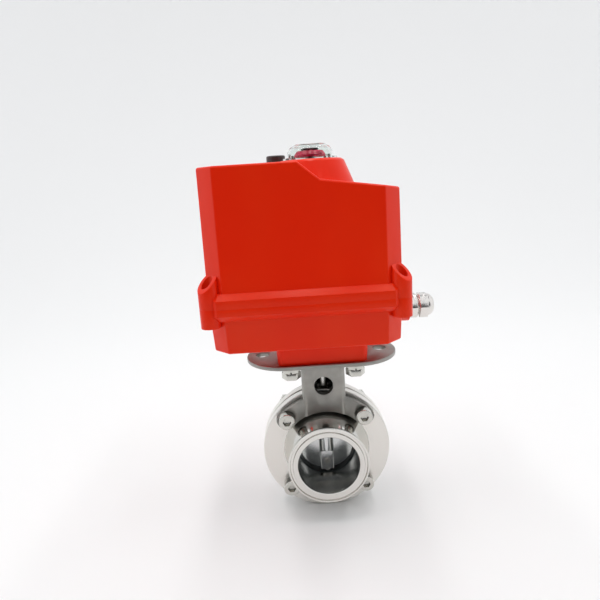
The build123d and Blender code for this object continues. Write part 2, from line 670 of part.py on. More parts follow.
with BuildPart() as base_housing:
    add(base_block.part)
    with BuildSketch(at(HOUSING_X, 0, JOINT_Z - BAND_DOWN)):
        with BuildLine():
            Polyline(chamfered_plan(BAND_HALF_X, BAND_HALF_Y, BAND_CORNER), close=True)
        make_face()
    extrude(amount=BAND_DOWN)
    band_low = base_housing.edges().filter_by_position(
        Axis.Z, JOINT_Z - BAND_DOWN - 0.01, JOINT_Z - BAND_DOWN + 0.01)
    band_low = band_low.filter_by(on_band)
    chamfer(band_low, BAND_BEVEL - 0.2)
    with BuildSketch(at(0, 0, JOINT_Z - EAR_DOWN)):
        with Locations(*EAR_POINTS):
            Circle(EAR_R)
    extrude(amount=EAR_DOWN)
    # foot that stands on the bracket
    with BuildSketch(at(0, 0, BASE_Z + 0.5)):
        RectangleRounded(2 * PAD_HALF_X + 3, 2 * PAD_HALF_Y + 3, 6.0)
    extrude(amount=-PAD_H - 0.5, taper=4.0)
    # boss for the cable gland
    with BuildSketch(Plane(origin=(SIDE_X - 5, 0, GLAND_AXIS_Z), x_dir=(0, 1, 0), z_dir=(1, 0, 0))):
        Circle(GLAND_BOSS_R)
    extrude(amount=5 + GLAND_BOSS_L)
    # inside
    with BuildSketch(at(HOUSING_X, 0, FLOOR_TOP)):
        with BuildLine():
            Polyline(chamfered_plan(BODY_HALF_X - WALL - DRAFT_ROOM,
                                    BODY_HALF_Y - WALL - DRAFT_ROOM, INNER_CORNER), close=True)
        make_face()
    extrude(amount=BASE_H, mode=Mode.SUBTRACT)
    # posts and bosses that stand on the floor
    with BuildSketch(at(0, 0, FLOOR_TOP - 0.5)):
        with Locations(*BOARD_POSTS):
            Circle(BOARD_POST_R)
    extrude(amount=BOARD_Z - FLOOR_TOP + 0.5)
    with BuildSketch(at(0, 0, FLOOR_TOP - 0.5)):
        with Locations(OVERRIDE):
            Circle(OVERRIDE_R + 3)
        with Locations(INTERMEDIATE):
            Circle(INTERMEDIATE_R + 3)
        with Locations(*SPACERS):
            Circle(SPACER_R + 1.5)
    extrude(amount=SPACER_SEAT_H + 0.5)
    # holes
    with BuildSketch(at(0, 0, PLATE_TOP)):
        Circle(LOWER_BUSH_R + SEAT)
    extrude(amount=PAD_H + FLOOR_T, mode=Mode.SUBTRACT)
    with BuildSketch(at(0, 0, PLATE_TOP)):
        with Locations(*F07_POINTS):
            Circle(F07_BOLT_R + SEAT)
    extrude(amount=F07_BITE + 1.0, mode=Mode.SUBTRACT)
    with BuildSketch(at(0, 0, BASE_Z + 1.5)):
        with Locations(OVERRIDE):
            Circle(OVERRIDE_R + RUN)
        with Locations(INTERMEDIATE):
            Circle(INTERMEDIATE_R + RUN)
    extrude(amount=8, mode=Mode.SUBTRACT)
    with BuildSketch(at(0, 0, BASE_Z + 2.0)):
        with Locations(*SPACERS):
            Circle(SMALL_SCREW_R + SEAT)
    extrude(amount=8, mode=Mode.SUBTRACT)
    with BuildSketch(at(0, 0, JOINT_Z)):
        with Locations(*EAR_POINTS):
            Circle(COVER_SCREW_R + SEAT)
    extrude(amount=-COVER_SCREW_BITE - 1, mode=Mode.SUBTRACT)
    with BuildSketch(at(0, 0, BOARD_Z)):
        with Locations(*BOARD_POSTS):
            Circle(BOARD_SCREW_R + SEAT)
    extrude(amount=-7, mode=Mode.SUBTRACT)
    with BuildSketch(Plane(origin=(SIDE_X - 20, 0, GLAND_AXIS_Z), x_dir=(0, 1, 0), z_dir=(1, 0, 0))):
        Circle(GLAND_THREAD_R + SEAT)
    extrude(amount=40, mode=Mode.SUBTRACT)
    # groove for the cover gasket
    with BuildSketch(at(HOUSING_X, 0, JOINT_Z)):
        with BuildLine():
            Polyline(gasket_line(), close=True)
        make_face()
        offset(amount=GASKET_W / 2, kind=Kind.INTERSECTION, mode=Mode.REPLACE)
        offset(amount=-GASKET_W, kind=Kind.INTERSECTION, mode=Mode.SUBTRACT)
    extrude(amount=-GASKET_T, mode=Mode.SUBTRACT)
write(base_housing.part, "base_housing")

with BuildPart() as cover_gasket:
    with BuildSketch(at(HOUSING_X, 0, JOINT_Z)):
        with BuildLine():
            Polyline(gasket_line(), close=True)
        make_face()
        offset(amount=GASKET_W / 2 - SEAT, kind=Kind.INTERSECTION, mode=Mode.REPLACE)
        offset(amount=-GASKET_W + 2 * SEAT, kind=Kind.INTERSECTION, mode=Mode.SUBTRACT)
    extrude(amount=-GASKET_T + SEAT)
write(cover_gasket.part, "cover_gasket")

# The cover is a block with a stepped top, the turret, the joint band and the ears.
# Both the block and the space inside it are cut to the same top line.
STEP_LOW_Z = TOP_Z - STEP_DROP


def top_line(drop):
    """Corners of the material to remove above the stepped top, as (x, z)."""
    far_right = HOUSING_X + BODY_HALF_X + 20
    fall = (far_right - STEP_LOW_X) * tan(radians(LOW_SLOPE))
    shift = drop * tan(radians(25))
    return [
        (HOUSING_X - BODY_HALF_X - 20, TOP_Z - drop), (STEP_HIGH_X - shift, TOP_Z - drop),
        (STEP_LOW_X - shift, STEP_LOW_Z - drop), (far_right, STEP_LOW_Z - fall - drop),
        (far_right, TOP_Z + 40), (HOUSING_X - BODY_HALF_X - 20, TOP_Z + 40),
    ]


with BuildPart() as cover_block:
    with BuildSketch(at(HOUSING_X, 0, JOINT_Z)):
        with BuildLine():
            Polyline(chamfered_plan(BODY_HALF_X, BODY_HALF_Y, BODY_CORNER), close=True)
        make_face()
    extrude(amount=COVER_H + 5, taper=COVER_DRAFT)
    fillet(cover_block.edges().filter_by(upright), CORNER_ROUND)
    with BuildSketch(Plane.XZ):
        with BuildLine():
            Polyline(top_line(0), close=True)
        make_face()
    extrude(amount=2 * BODY_HALF_Y, both=True, mode=Mode.SUBTRACT)
    top_edges = cover_block.edges().filter_by_position(Axis.Z, STEP_LOW_Z - 20, TOP_Z + 1)
    top_edges = top_edges.filter_by(lambda e: not upright(e))
    fillet(top_edges, 1.8)

with BuildPart() as cover_space:
    with BuildSketch(at(HOUSING_X, 0, JOINT_Z)):
        with BuildLine():
            Polyline(chamfered_plan(BODY_HALF_X - WALL, BODY_HALF_Y - WALL, INNER_CORNER), close=True)
        make_face()
    extrude(amount=COVER_H, taper=COVER_DRAFT)
    with BuildSketch(Plane.XZ):
        with BuildLine():
            Polyline(top_line(WALL), close=True)
        make_face()
    extrude(amount=2 * BODY_HALF_Y, both=True, mode=Mode.SUBTRACT)

# Screw ears: round posts whose tops slope outwards at the corners.
with BuildPart() as cover_ears:
    with BuildSketch(at(0, 0, JOINT_Z)):
        with Locations(*EAR_POINTS):
            Circle(EAR_R)
    extrude(amount=EAR_UP + EAR_R)
    for x, y in EAR_POINTS:
        out_x = 1 if x > HOUSING_X else -1
        out_y = 1 if y > 0 else -1
        tilt = sin(radians(EAR_SLOPE)) / sqrt(2)
        slope = Plane(origin=(x, y, JOINT_Z + EAR_UP), z_dir=(out_x * tilt, out_y * tilt,
                                                             cos(radians(EAR_SLOPE))))
        with BuildSketch(slope):
            Rectangle(5 * EAR_R, 5 * EAR_R)
        extrude(amount=3 * EAR_R, mode=Mode.SUBTRACT)

with BuildPart() as top_cover:
    add(cover_block.part)
    # turret over the stem
    with BuildSketch(Plane.XZ):
        with BuildLine():
            Polyline([
                (0, STEP_LOW_Z - 12), (TURRET_FOOT_R + 4, STEP_LOW_Z - 12),
                (TURRET_FOOT_R, TURRET_Z - TURRET_FOOT_DROP), (TURRET_R, TURRET_Z - 1.5),
                (TURRET_R - 2.0, TURRET_Z), (0, TURRET_Z),
            ], close=True)
        make_face()
    revolve(axis=Axis.Z)
    # collar for the override cap
    with BuildSketch(at(0, 0, TOP_Z - 1)):
        with Locations(OVERRIDE):
            Circle(CAP_BOSS_R)
    extrude(amount=CAP_BOSS_H + 1)
    # joint band
    with BuildSketch(at(HOUSING_X, 0, JOINT_Z)):
        with BuildLine():
            Polyline(chamfered_plan(BAND_HALF_X, BAND_HALF_Y, BAND_CORNER), close=True)
        make_face()
    extrude(amount=BAND_UP)
    band_top = top_cover.edges().filter_by_position(
        Axis.Z, JOINT_Z + BAND_UP - 0.01, JOINT_Z + BAND_UP + 0.01)
    band_top = band_top.filter_by(on_band)
    chamfer(band_top, BAND_BEVEL - 0.2)
    add(cover_ears.part)
    # inside
    add(cover_space.part, mode=Mode.SUBTRACT)
    with BuildSketch(Plane.XZ):
        with BuildLine():
            Polyline([
                (0, STEP_LOW_Z - 12), (TURRET_FOOT_R + 1, STEP_LOW_Z - 12),
                (TURRET_FOOT_R - WALL, TURRET_Z - TURRET_FOOT_DROP),
                (TURRET_R - WALL, TURRET_Z - WALL), (0, TURRET_Z - WALL),
            ], close=True)
        make_face()
    revolve(axis=Axis.Z, mode=Mode.SUBTRACT)
    # boss under the override hole
    with BuildSketch(at(0, 0, TOP_Z - WALL - 4)):
        with Locations(OVERRIDE):
            Circle(OVERRIDE_R + 4)
    extrude(amount=5)
    # holes
    with BuildSketch(at(0, 0, TOP_Z - 20)):
        with Locations(OVERRIDE):
            Circle(OVERRIDE_R + RUN)
        Circle(INDICATOR_SHAFT_R + FREE)
    extrude(amount=40, mode=Mode.SUBTRACT)
    with BuildSketch(at(0, 0, JOINT_Z)):
        with Locations(*EAR_POINTS):
            Circle(COVER_SCREW_R + BOLT_HOLE_GAP)
    extrude(amount=30, mode=Mode.SUBTRACT)
    with BuildSketch(at(0, 0, JOINT_Z + COVER_SCREW_SHOULDER)):
        with Locations(*EAR_POINTS):
            Circle(EAR_HOLE_R)
    extrude(amount=30, mode=Mode.SUBTRACT)
write(top_cover.part, "top_cover")


with BuildPart() as cover_screws:
    with BuildSketch(at(0, 0, JOINT_Z + COVER_SCREW_SHOULDER)):
        with Locations(*EAR_POINTS):
            Circle(COVER_SCREW_HEAD_R)
    extrude(amount=COVER_SCREW_HEAD_H)
    with BuildSketch(at(0, 0, JOINT_Z + COVER_SCREW_SHOULDER + COVER_SCREW_HEAD_H)):
        with Locations(*EAR_POINTS):
            RegularPolygon(hexagon(COVER_SCREW_KEY), 6)
    extrude(amount=-COVER_SCREW_HEAD_H / 2, mode=Mode.SUBTRACT)
    with BuildSketch(at(0, 0, JOINT_Z + COVER_SCREW_SHOULDER)):
        with Locations(*EAR_POINTS):
            Circle(COVER_SCREW_R)
    extrude(amount=-COVER_SCREW_SHOULDER - COVER_SCREW_BITE)
write(cover_screws.part, "cover_screws")

# ================================================================ drive train
# Every gear has a tooth on the line to the pinion that drives it, and that
# pinion has a gap on the same line, so the train is in mesh at rest.
OVERRIDE_TO_OUTPUT = OVERRIDE_ANGLE + 180
INTERMEDIATE_TO_OVERRIDE = INTERMEDIATE_ANGLE + 180
MOTOR_TO_INTERMEDIATE = MOTOR_ANGLE + 180
HALF_TOOTH = 180 / PINION_TEETH
GEAR_LOW = BASE_Z + OUTPUT_GEAR_Z
GEAR_HIGH = GEAR_LOW + OUTPUT_GEAR_T
SECOND_LOW = BASE_Z + SECOND_GEAR_Z
FIRST_LOW = BASE_Z + FIRST_GEAR_Z
MESH_SPARE = 1.0           # a pinion is wider than its gear by this on each side
CAM_ZS = [PLATE_HIGH + CAM_Z, PLATE_HIGH + CAM_Z + CAM_STEP]
SHAFT_FOOT = PLATE_TOP + 0.8
DRUM_Z = TURRET_Z + DOME_FLANGE_T + 0.4

with BuildPart() as output_shaft:
    with BuildSketch(at(0, 0, SHAFT_FOOT)):
        Circle(OUTPUT_JOURNAL_R)
    extrude(amount=GEAR_LOW - SHAFT_FOOT)
    with BuildSketch(at(0, 0, GEAR_LOW)):
        Circle(OUTPUT_GEAR_SEAT_R)
    extrude(amount=OUTPUT_GEAR_T + 2)
    with BuildSketch(at(0, 0, GEAR_HIGH + 2)):
        Circle(OUTPUT_UPPER_R)
    extrude(amount=PLATE_HIGH - GEAR_HIGH)
    with BuildSketch(at(0, 0, PLATE_HIGH)):
        Circle(CAM_SEAT_R)
    extrude(amount=CAM_ZS[1] + CAM_T - PLATE_HIGH)
    with BuildSketch(at(0, 0, CAM_ZS[1])):
        Circle(INDICATOR_SHAFT_R)
    extrude(amount=DRUM_Z + DRUM_H - 1 - CAM_ZS[1])
    with BuildSketch(at(0, 0, SHAFT_FOOT)):
        RectangleRounded(DRIVE_SQUARE + 2 * DRIVE_GAP, DRIVE_SQUARE + 2 * DRIVE_GAP, 1.0)
    extrude(amount=DRIVE_DEPTH, mode=Mode.SUBTRACT)
    # flat for the gear's key
    with BuildSketch(at(0, 0, GEAR_LOW)):
        with Locations((OUTPUT_GEAR_SEAT_R - 1.5, 0)):
            Rectangle(3.0, 4.0, align=(Align.MIN, Align.CENTER))
    extrude(amount=OUTPUT_GEAR_T + 2, mode=Mode.SUBTRACT)
write(output_shaft.part, "output_shaft")

with BuildPart() as output_gear:
    with BuildSketch(at(0, 0, GEAR_LOW)):
        with BuildLine():
            Polyline(gear_outline(OUTPUT_MODULE, OUTPUT_TEETH, OVERRIDE_ANGLE, STUB), close=True)
        make_face()
        Circle(OUTPUT_GEAR_SEAT_R + SEAT, mode=Mode.SUBTRACT)
        with PolarLocations(20.5, 6, start_angle=15):
            Circle(4.0, mode=Mode.SUBTRACT)
    extrude(amount=OUTPUT_GEAR_T)
    with BuildSketch(at(0, 0, GEAR_LOW + 1.5)):
        Circle(26.5)
        Circle(15.5, mode=Mode.SUBTRACT)
    extrude(amount=-1.5, mode=Mode.SUBTRACT)
write(output_gear.part, "output_gear")

with BuildPart() as gear_key:
    with BuildSketch(at(0, 0, GEAR_LOW)):
        with Locations((OUTPUT_GEAR_SEAT_R - 1.5 + SEAT, 0)):
            Rectangle(1.2, 4.0 - 2 * SEAT, align=(Align.MIN, Align.CENTER))
    extrude(amount=OUTPUT_GEAR_T)
write(gear_key.part, "gear_key")

with BuildPart() as lower_shaft_bush:
    with BuildSketch(at(0, 0, PLATE_TOP + 3.0)):
        Circle(LOWER_BUSH_R)
        Circle(OUTPUT_JOURNAL_R + RUN, mode=Mode.SUBTRACT)
    extrude(amount=FLOOR_TOP - PLATE_TOP - 3.0)
write(lower_shaft_bush.part, "lower_shaft_bush")

with BuildPart() as shaft_seal:
    with BuildSketch(at(0, 0, PLATE_TOP + 0.2)):
        Circle(LOWER_BUSH_R)
        Circle(OUTPUT_JOURNAL_R + FREE, mode=Mode.SUBTRACT)
    extrude(amount=2.6)
write(shaft_seal.part, "shaft_seal")

OVERRIDE_TOP = TOP_Z + CAP_TALL - 1.0
with BuildPart() as override_shaft:
    with BuildSketch(at(*OVERRIDE, BASE_Z + 1.7)):
        Circle(OVERRIDE_R)
    extrude(amount=OVERRIDE_TOP - BASE_Z - 1.7)
    with BuildSketch(at(0, 0, GEAR_LOW - MESH_SPARE)):
        with BuildLine():
            outline = gear_outline(OUTPUT_MODULE, PINION_TEETH, OVERRIDE_TO_OUTPUT + HALF_TOOTH)
            Polyline([(x + OVERRIDE[0], y + OVERRIDE[1]) for x, y in outline], close=True)
        make_face()
    extrude(amount=OUTPUT_GEAR_T + 2 * MESH_SPARE)
    with BuildSketch(at(*OVERRIDE, SECOND_LOW)):
        Circle(OVERRIDE_R + 1.5)
    extrude(amount=-2.0)
    with BuildSketch(at(*OVERRIDE, TOP_Z + 0.5)):
        Circle(2 * OVERRIDE_R)
        RegularPolygon(hexagon(OVERRIDE_HEX), 6, mode=Mode.SUBTRACT)
    extrude(amount=20, mode=Mode.SUBTRACT)
write(override_shaft.part, "override_shaft")

with BuildPart() as second_gear:
    with BuildSketch(at(*OVERRIDE, SECOND_LOW)):
        with BuildLine():
            Polyline(gear_outline(SECOND_MODULE, SECOND_TEETH, INTERMEDIATE_ANGLE, STUB), close=True)
        make_face()
    extrude(amount=SECOND_GEAR_T)
    with BuildSketch(at(*OVERRIDE, SECOND_LOW + SECOND_GEAR_T)):
        Circle(14.5)
        Circle(OVERRIDE_R + 3.5, mode=Mode.SUBTRACT)
    extrude(amount=-2.0, mode=Mode.SUBTRACT)
    with BuildSketch(at(*OVERRIDE, SECOND_LOW)):
        Circle(OVERRIDE_R + SEAT)
    extrude(amount=SECOND_GEAR_T, mode=Mode.SUBTRACT)
write(second_gear.part, "second_gear")

with BuildPart() as intermediate_shaft:
    with BuildSketch(at(*INTERMEDIATE, BASE_Z + 1.7)):
        Circle(INTERMEDIATE_R)
    extrude(amount=PLATE_HIGH - BASE_Z - 1.7)
    with BuildSketch(at(0, 0, SECOND_LOW - MESH_SPARE)):
        with BuildLine():
            outline = gear_outline(SECOND_MODULE, PINION_TEETH,
                                   INTERMEDIATE_TO_OVERRIDE + HALF_TOOTH)
            Polyline([(x + INTERMEDIATE[0], y + INTERMEDIATE[1]) for x, y in outline], close=True)
        make_face()
    extrude(amount=SECOND_GEAR_T + 2 * MESH_SPARE)
write(intermediate_shaft.part, "intermediate_shaft")

with BuildPart() as first_gear:
    with BuildSketch(at(*INTERMEDIATE, FIRST_LOW)):
        with BuildLine():
            Polyline(gear_outline(FIRST_MODULE, FIRST_TEETH, MOTOR_ANGLE, STUB), close=True)
        make_face()
    extrude(amount=FIRST_GEAR_T)
    with BuildSketch(at(*INTERMEDIATE, FIRST_LOW)):
        Circle(INTERMEDIATE_R + 2)
    extrude(amount=-2.0)
    with BuildSketch(at(*INTERMEDIATE, FIRST_LOW - 2)):
        Circle(INTERMEDIATE_R + SEAT)
    extrude(amount=FIRST_GEAR_T + 2, mode=Mode.SUBTRACT)
write(first_gear.part, "first_gear")

with BuildPart() as motor_pinion:
    with BuildSketch(at(0, 0, FIRST_LOW - MESH_SPARE)):
        with BuildLine():
            outline = gear_outline(FIRST_MODULE, PINION_TEETH, MOTOR_TO_INTERMEDIATE + HALF_TOOTH)
            Polyline([(x + MOTOR[0], y + MOTOR[1]) for x, y in outline], close=True)
        make_face()
    extrude(amount=FIRST_GEAR_T + 2 * MESH_SPARE)
    with BuildSketch(at(*MOTOR, FIRST_LOW)):
        Circle(MOTOR_SHAFT_R)
    extrude(amount=PLATE_HIGH + MOTOR_SHAFT_IN - FIRST_LOW)
write(motor_pinion.part, "motor_pinion")

# ------------------------------------------------ plate that carries the train
with BuildPart() as gear_plate:
    with BuildSketch(at(0, 0, PLATE_LOW)):
        with Locations(((PLATE_X0 + PLATE_X1) / 2, (PLATE_Y0 + PLATE_Y1) / 2)):
            Rectangle(PLATE_X1 - PLATE_X0, PLATE_Y1 - PLATE_Y0)
        chamfer(vertices(), 6.0)
        Circle(OUTPUT_UPPER_R + BUSH_WALL + SEAT, mode=Mode.SUBTRACT)
        with Locations(OVERRIDE):
            Circle(OVERRIDE_R + RUN, mode=Mode.SUBTRACT)
        with Locations(INTERMEDIATE):
            Circle(INTERMEDIATE_R + RUN, mode=Mode.SUBTRACT)
        with Locations(MOTOR):
            Circle(4.0, mode=Mode.SUBTRACT)
        with Locations(*SPACERS):
            Circle(SMALL_SCREW_R + SEAT, mode=Mode.SUBTRACT)
    extrude(amount=GEAR_PLATE_T)
write(gear_plate.part, "gear_plate")

with BuildPart() as upper_shaft_bush:
    with BuildSketch(at(0, 0, PLATE_LOW)):
        Circle(OUTPUT_UPPER_R + BUSH_WALL)
        Circle(OUTPUT_UPPER_R + RUN, mode=Mode.SUBTRACT)
    extrude(amount=GEAR_PLATE_T)
    with BuildSketch(at(0, 0, PLATE_LOW)):
        Circle(OUTPUT_UPPER_R + BUSH_WALL + 2)
        Circle(OUTPUT_UPPER_R + RUN, mode=Mode.SUBTRACT)
    extrude(amount=-2.0)
write(upper_shaft_bush.part, "upper_shaft_bush")

with BuildPart() as plate_spacers:
    with BuildSketch(at(0, 0, FLOOR_TOP + SPACER_SEAT_H)):
        with Locations(*SPACERS):
            Circle(SPACER_R)
            Circle(SMALL_SCREW_R + SEAT, mode=Mode.SUBTRACT)
    extrude(amount=PLATE_LOW - FLOOR_TOP - SPACER_SEAT_H)
write(plate_spacers.part, "plate_spacers")

with BuildPart() as plate_screws:
    with BuildSketch(at(0, 0, PLATE_HIGH)):
        with Locations(*SPACERS):
            Circle(SMALL_HEAD_R)
    extrude(amount=SMALL_HEAD_H)
    with BuildSketch(at(0, 0, PLATE_HIGH + SMALL_HEAD_H)):
        with Locations(*SPACERS):
            Rectangle(4.2, 0.8)
            Rectangle(0.8, 4.2)
    extrude(amount=-1.0, mode=Mode.SUBTRACT)
    with BuildSketch(at(0, 0, PLATE_HIGH)):
        with Locations(*SPACERS):
            Circle(SMALL_SCREW_R)
    extrude(amount=BASE_Z + 2.5 - PLATE_HIGH)
write(plate_screws.part, "plate_screws")

# --------------------------------------------------------------------- motor
with BuildPart() as motor_gearbox:
    with BuildSketch(at(*MOTOR, PLATE_HIGH)):
        Circle(MOTOR_R - 1)
    extrude(amount=GEARBOX_H)
    with BuildSketch(at(*MOTOR, PLATE_HIGH)):
        Circle(MOTOR_SHAFT_R + RUN)
    extrude(amount=8, mode=Mode.SUBTRACT)
write(motor_gearbox.part, "motor_gearbox")

with BuildPart() as motor_can:
    with BuildSketch(at(*MOTOR, PLATE_HIGH + GEARBOX_H)):
        Circle(MOTOR_R)
    extrude(amount=MOTOR_H)
    fillet(motor_can.edges().group_by(Axis.Z)[-1], 2.5)
    with BuildSketch(at(*MOTOR, PLATE_HIGH + GEARBOX_H + MOTOR_H)):
        Circle(MOTOR_BOSS_R)
    extrude(amount=MOTOR_BOSS_H)
write(motor_can.part, "motor_can")

with BuildPart() as run_capacitor:
    with BuildSketch(Plane(origin=(-18, 18.0 - INSIDE_Y, PLATE_HIGH + CAPACITOR_R),
                           x_dir=(0, 1, 0), z_dir=(1, 0, 0))):
        Circle(CAPACITOR_R)
    extrude(amount=CAPACITOR_L)
    fillet(run_capacitor.edges().filter_by(GeomType.CIRCLE), 1.0)
write(run_capacitor.part, "run_capacitor")

# ---------------------------------------------------------- cams and switches
def cam(low, middle_angle, span):
    """Disc cam with one raised lobe, for the indicator shaft."""
    with BuildPart() as part:
        with BuildSketch(at(0, 0, low)):
            Circle(CAM_LOBE_R)
            with BuildLine():
                Polyline([
                    (0, 0), polar((0, 0), 40, middle_angle - span / 2),
                    polar((0, 0), 60, middle_angle), polar((0, 0), 40, middle_angle + span / 2),
                ], close=True)
            make_face(mode=Mode.INTERSECT)
            Circle(CAM_R)
            Circle(CAM_SEAT_R + SEAT, mode=Mode.SUBTRACT)
        extrude(amount=CAM_T)
        with BuildSketch(Plane.YZ.offset(-CAM_LOBE_R)):
            with Locations((0, low + CAM_T / 2)):
                Circle(1.2)
        extrude(amount=CAM_LOBE_R, mode=Mode.SUBTRACT)
    return part.part


closed_cam = cam(CAM_ZS[0], 0, 40)
write(closed_cam, "closed_cam")
open_cam = cam(CAM_ZS[1], -90, 40)
write(open_cam, "open_cam")

SWITCH_FACE = CAM_LOBE_R + BUTTON_PROUD + 0.5     # switch face that the button leaves
SWITCH_ZS = [z + (CAM_T - SWITCH_T) / 2 for z in CAM_ZS]


def limit_switch(low):
    """Miniature snap switch on its side with its button towards the cams."""
    with BuildPart() as part:
        with BuildSketch(at(SWITCH_FACE + SWITCH_W / 2, 0, low)):
            Rectangle(SWITCH_W, SWITCH_L)
            chamfer(vertices(), 0.6)
        extrude(amount=SWITCH_T)
        with BuildSketch(at(SWITCH_FACE + SWITCH_W - 0.5, 0, low + SWITCH_T / 2 - 0.4)):
            with GridLocations(0, 7, 1, 3):
                Rectangle(7.0, 3.2)
        extrude(amount=0.8)
        with BuildSketch(Plane.YZ.offset(SWITCH_FACE)):
            with Locations((0, low + SWITCH_T / 2)):
                Circle(BUTTON_R + RUN)
        extrude(amount=BUTTON_ROOM, mode=Mode.SUBTRACT)
    return part.part


closed_switch = limit_switch(SWITCH_ZS[0])
write(closed_switch, "closed_switch")
open_switch = limit_switch(SWITCH_ZS[1])
write(open_switch, "open_switch")


def switch_button(low):
    """Button of a limit switch, at its free height."""
    with BuildPart() as part:
        with BuildSketch(Plane.YZ.offset(SWITCH_FACE - BUTTON_PROUD)):
            with Locations((0, low + SWITCH_T / 2)):
                Circle(BUTTON_R)
        extrude(amount=BUTTON_PROUD + BUTTON_DEEP)
        chamfer(part.edges().sort_by(Axis.X)[0], 0.4)
    return part.part


closed_button = switch_button(SWITCH_ZS[0])
write(closed_button, "closed_switch_button")
open_button = switch_button(SWITCH_ZS[1])
write(open_button, "open_switch_button")

# The switches are stacked with a shelf under each, on a foot on the gear plate.
with BuildPart() as switch_bracket:
    with BuildSketch(at(SWITCH_FACE + 4.0, 0, PLATE_HIGH)):
        Rectangle(7.0, SWITCH_L + 12)
    extrude(amount=1.5)
    for low in (SWITCH_ZS[0], SWITCH_ZS[1]):
        with BuildSketch(at(SWITCH_FACE + 4.0, 0, low)):
            Rectangle(7.0, SWITCH_L + 12)
        extrude(amount=-1.2)
    for side in (-1, 1):
        with BuildSketch(at(SWITCH_FACE + 4.0, side * (SWITCH_L / 2 + 3.5), PLATE_HIGH)):
            Rectangle(7.0, 3.0)
        extrude(amount=SWITCH_ZS[1] + 4.0 - PLATE_HIGH)
write(switch_bracket.part, "switch_bracket")

# --------------------------------------------------- wiring side of the base
TERMINAL_POINTS = [TERMINAL_PITCH * (n - (TERMINALS - 1) / 2) for n in range(TERMINALS)]
TERMINAL_Z = BOARD_Z + BOARD_T
with BuildPart() as circuit_board:
    with BuildSketch(at(BOARD_X, 0, BOARD_Z)):
        Rectangle(2 * BOARD_HALF_X, 2 * BOARD_HALF_Y)
        with Locations((0, BOARD_HALF_Y - BOARD_POST_IN), (0, BOARD_POST_IN - BOARD_HALF_Y)):
            Circle(BOARD_SCREW_R + BOLT_HOLE_GAP, mode=Mode.SUBTRACT)
    extrude(amount=BOARD_T)
write(circuit_board.part, "circuit_board")

with BuildPart() as terminal_block:
    with BuildSketch(at(BOARD_X, 0, TERMINAL_Z)):
        Rectangle(TERMINAL_W, TERMINAL_L)
    extrude(amount=TERMINAL_H)
    chamfer(terminal_block.edges().group_by(Axis.Z)[-1].filter_by(Axis.Y), 2.0)
    with BuildSketch(at(BOARD_X, 0, TERMINAL_Z + TERMINAL_H)):
        with Locations(*[(0, y) for y in TERMINAL_POINTS]):
            Circle(TERMINAL_SCREW_R + 0.1)
    extrude(amount=5.0 - TERMINAL_H, mode=Mode.SUBTRACT)
write(terminal_block.part, "terminal_block")

with BuildPart() as terminal_screws:
    with BuildSketch(at(BOARD_X, 0, TERMINAL_Z + 5.0)):
        with Locations(*[(0, y) for y in TERMINAL_POINTS]):
            Circle(TERMINAL_SCREW_R)
    extrude(amount=4.0)
    with BuildSketch(at(BOARD_X, 0, TERMINAL_Z + 9.0)):
        with Locations(*[(0, y) for y in TERMINAL_POINTS]):
            Rectangle(0.7, 5.0)
    extrude(amount=-1.0, mode=Mode.SUBTRACT)
write(terminal_screws.part, "terminal_screws")

with BuildPart() as board_screws:
    with BuildSketch(at(0, 0, TERMINAL_Z)):
        with Locations(*BOARD_POSTS):
            Circle(BOARD_HEAD_R)
    extrude(amount=BOARD_HEAD_H)
    with BuildSketch(at(0, 0, TERMINAL_Z + BOARD_HEAD_H)):
        with Locations(*BOARD_POSTS):
            Rectangle(3.4, 0.7)
            Rectangle(0.7, 3.4)
    extrude(amount=-BOARD_HEAD_H / 2, mode=Mode.SUBTRACT)
    with BuildSketch(at(0, 0, TERMINAL_Z)):
        with Locations(*BOARD_POSTS):
            Circle(BOARD_SCREW_R)
    extrude(amount=-BOARD_T - 6.0)
write(board_screws.part, "board_screws")

# ---------------------------------------------------------------- cable gland
GLAND_SEAT_X = SIDE_X + GLAND_BOSS_L


def gland_plane(x):
    """Plane across the gland's axis."""
    return Plane(origin=(x, 0, GLAND_AXIS_Z), x_dir=(0, 1, 0), z_dir=(1, 0, 0))


with BuildPart() as gland_body:
    with BuildSketch(gland_plane(GLAND_SEAT_X)):
        RegularPolygon(hexagon(GLAND_FLATS), 6)
    extrude(amount=GLAND_HEX_L)
    chamfer(gland_body.faces().sort_by(Axis.X)[-1].edges(), 0.5)
    with BuildSketch(gland_plane(GLAND_SEAT_X + GLAND_HEX_L)):
        Circle(GLAND_WAIST_R)
    extrude(amount=GLAND_WAIST_L)
    with BuildSketch(gland_plane(GLAND_SEAT_X)):
        Circle(GLAND_THREAD_R)
    extrude(amount=WALL_IN_X - LOCKNUT_T - 1.0 - GLAND_SEAT_X)
    with BuildSketch(gland_plane(WALL_IN_X - LOCKNUT_T - 1.0)):
        Circle(GLAND_SLEEVE_R + SEAT)
    extrude(amount=60, mode=Mode.SUBTRACT)
write(gland_body.part, "gland_body")

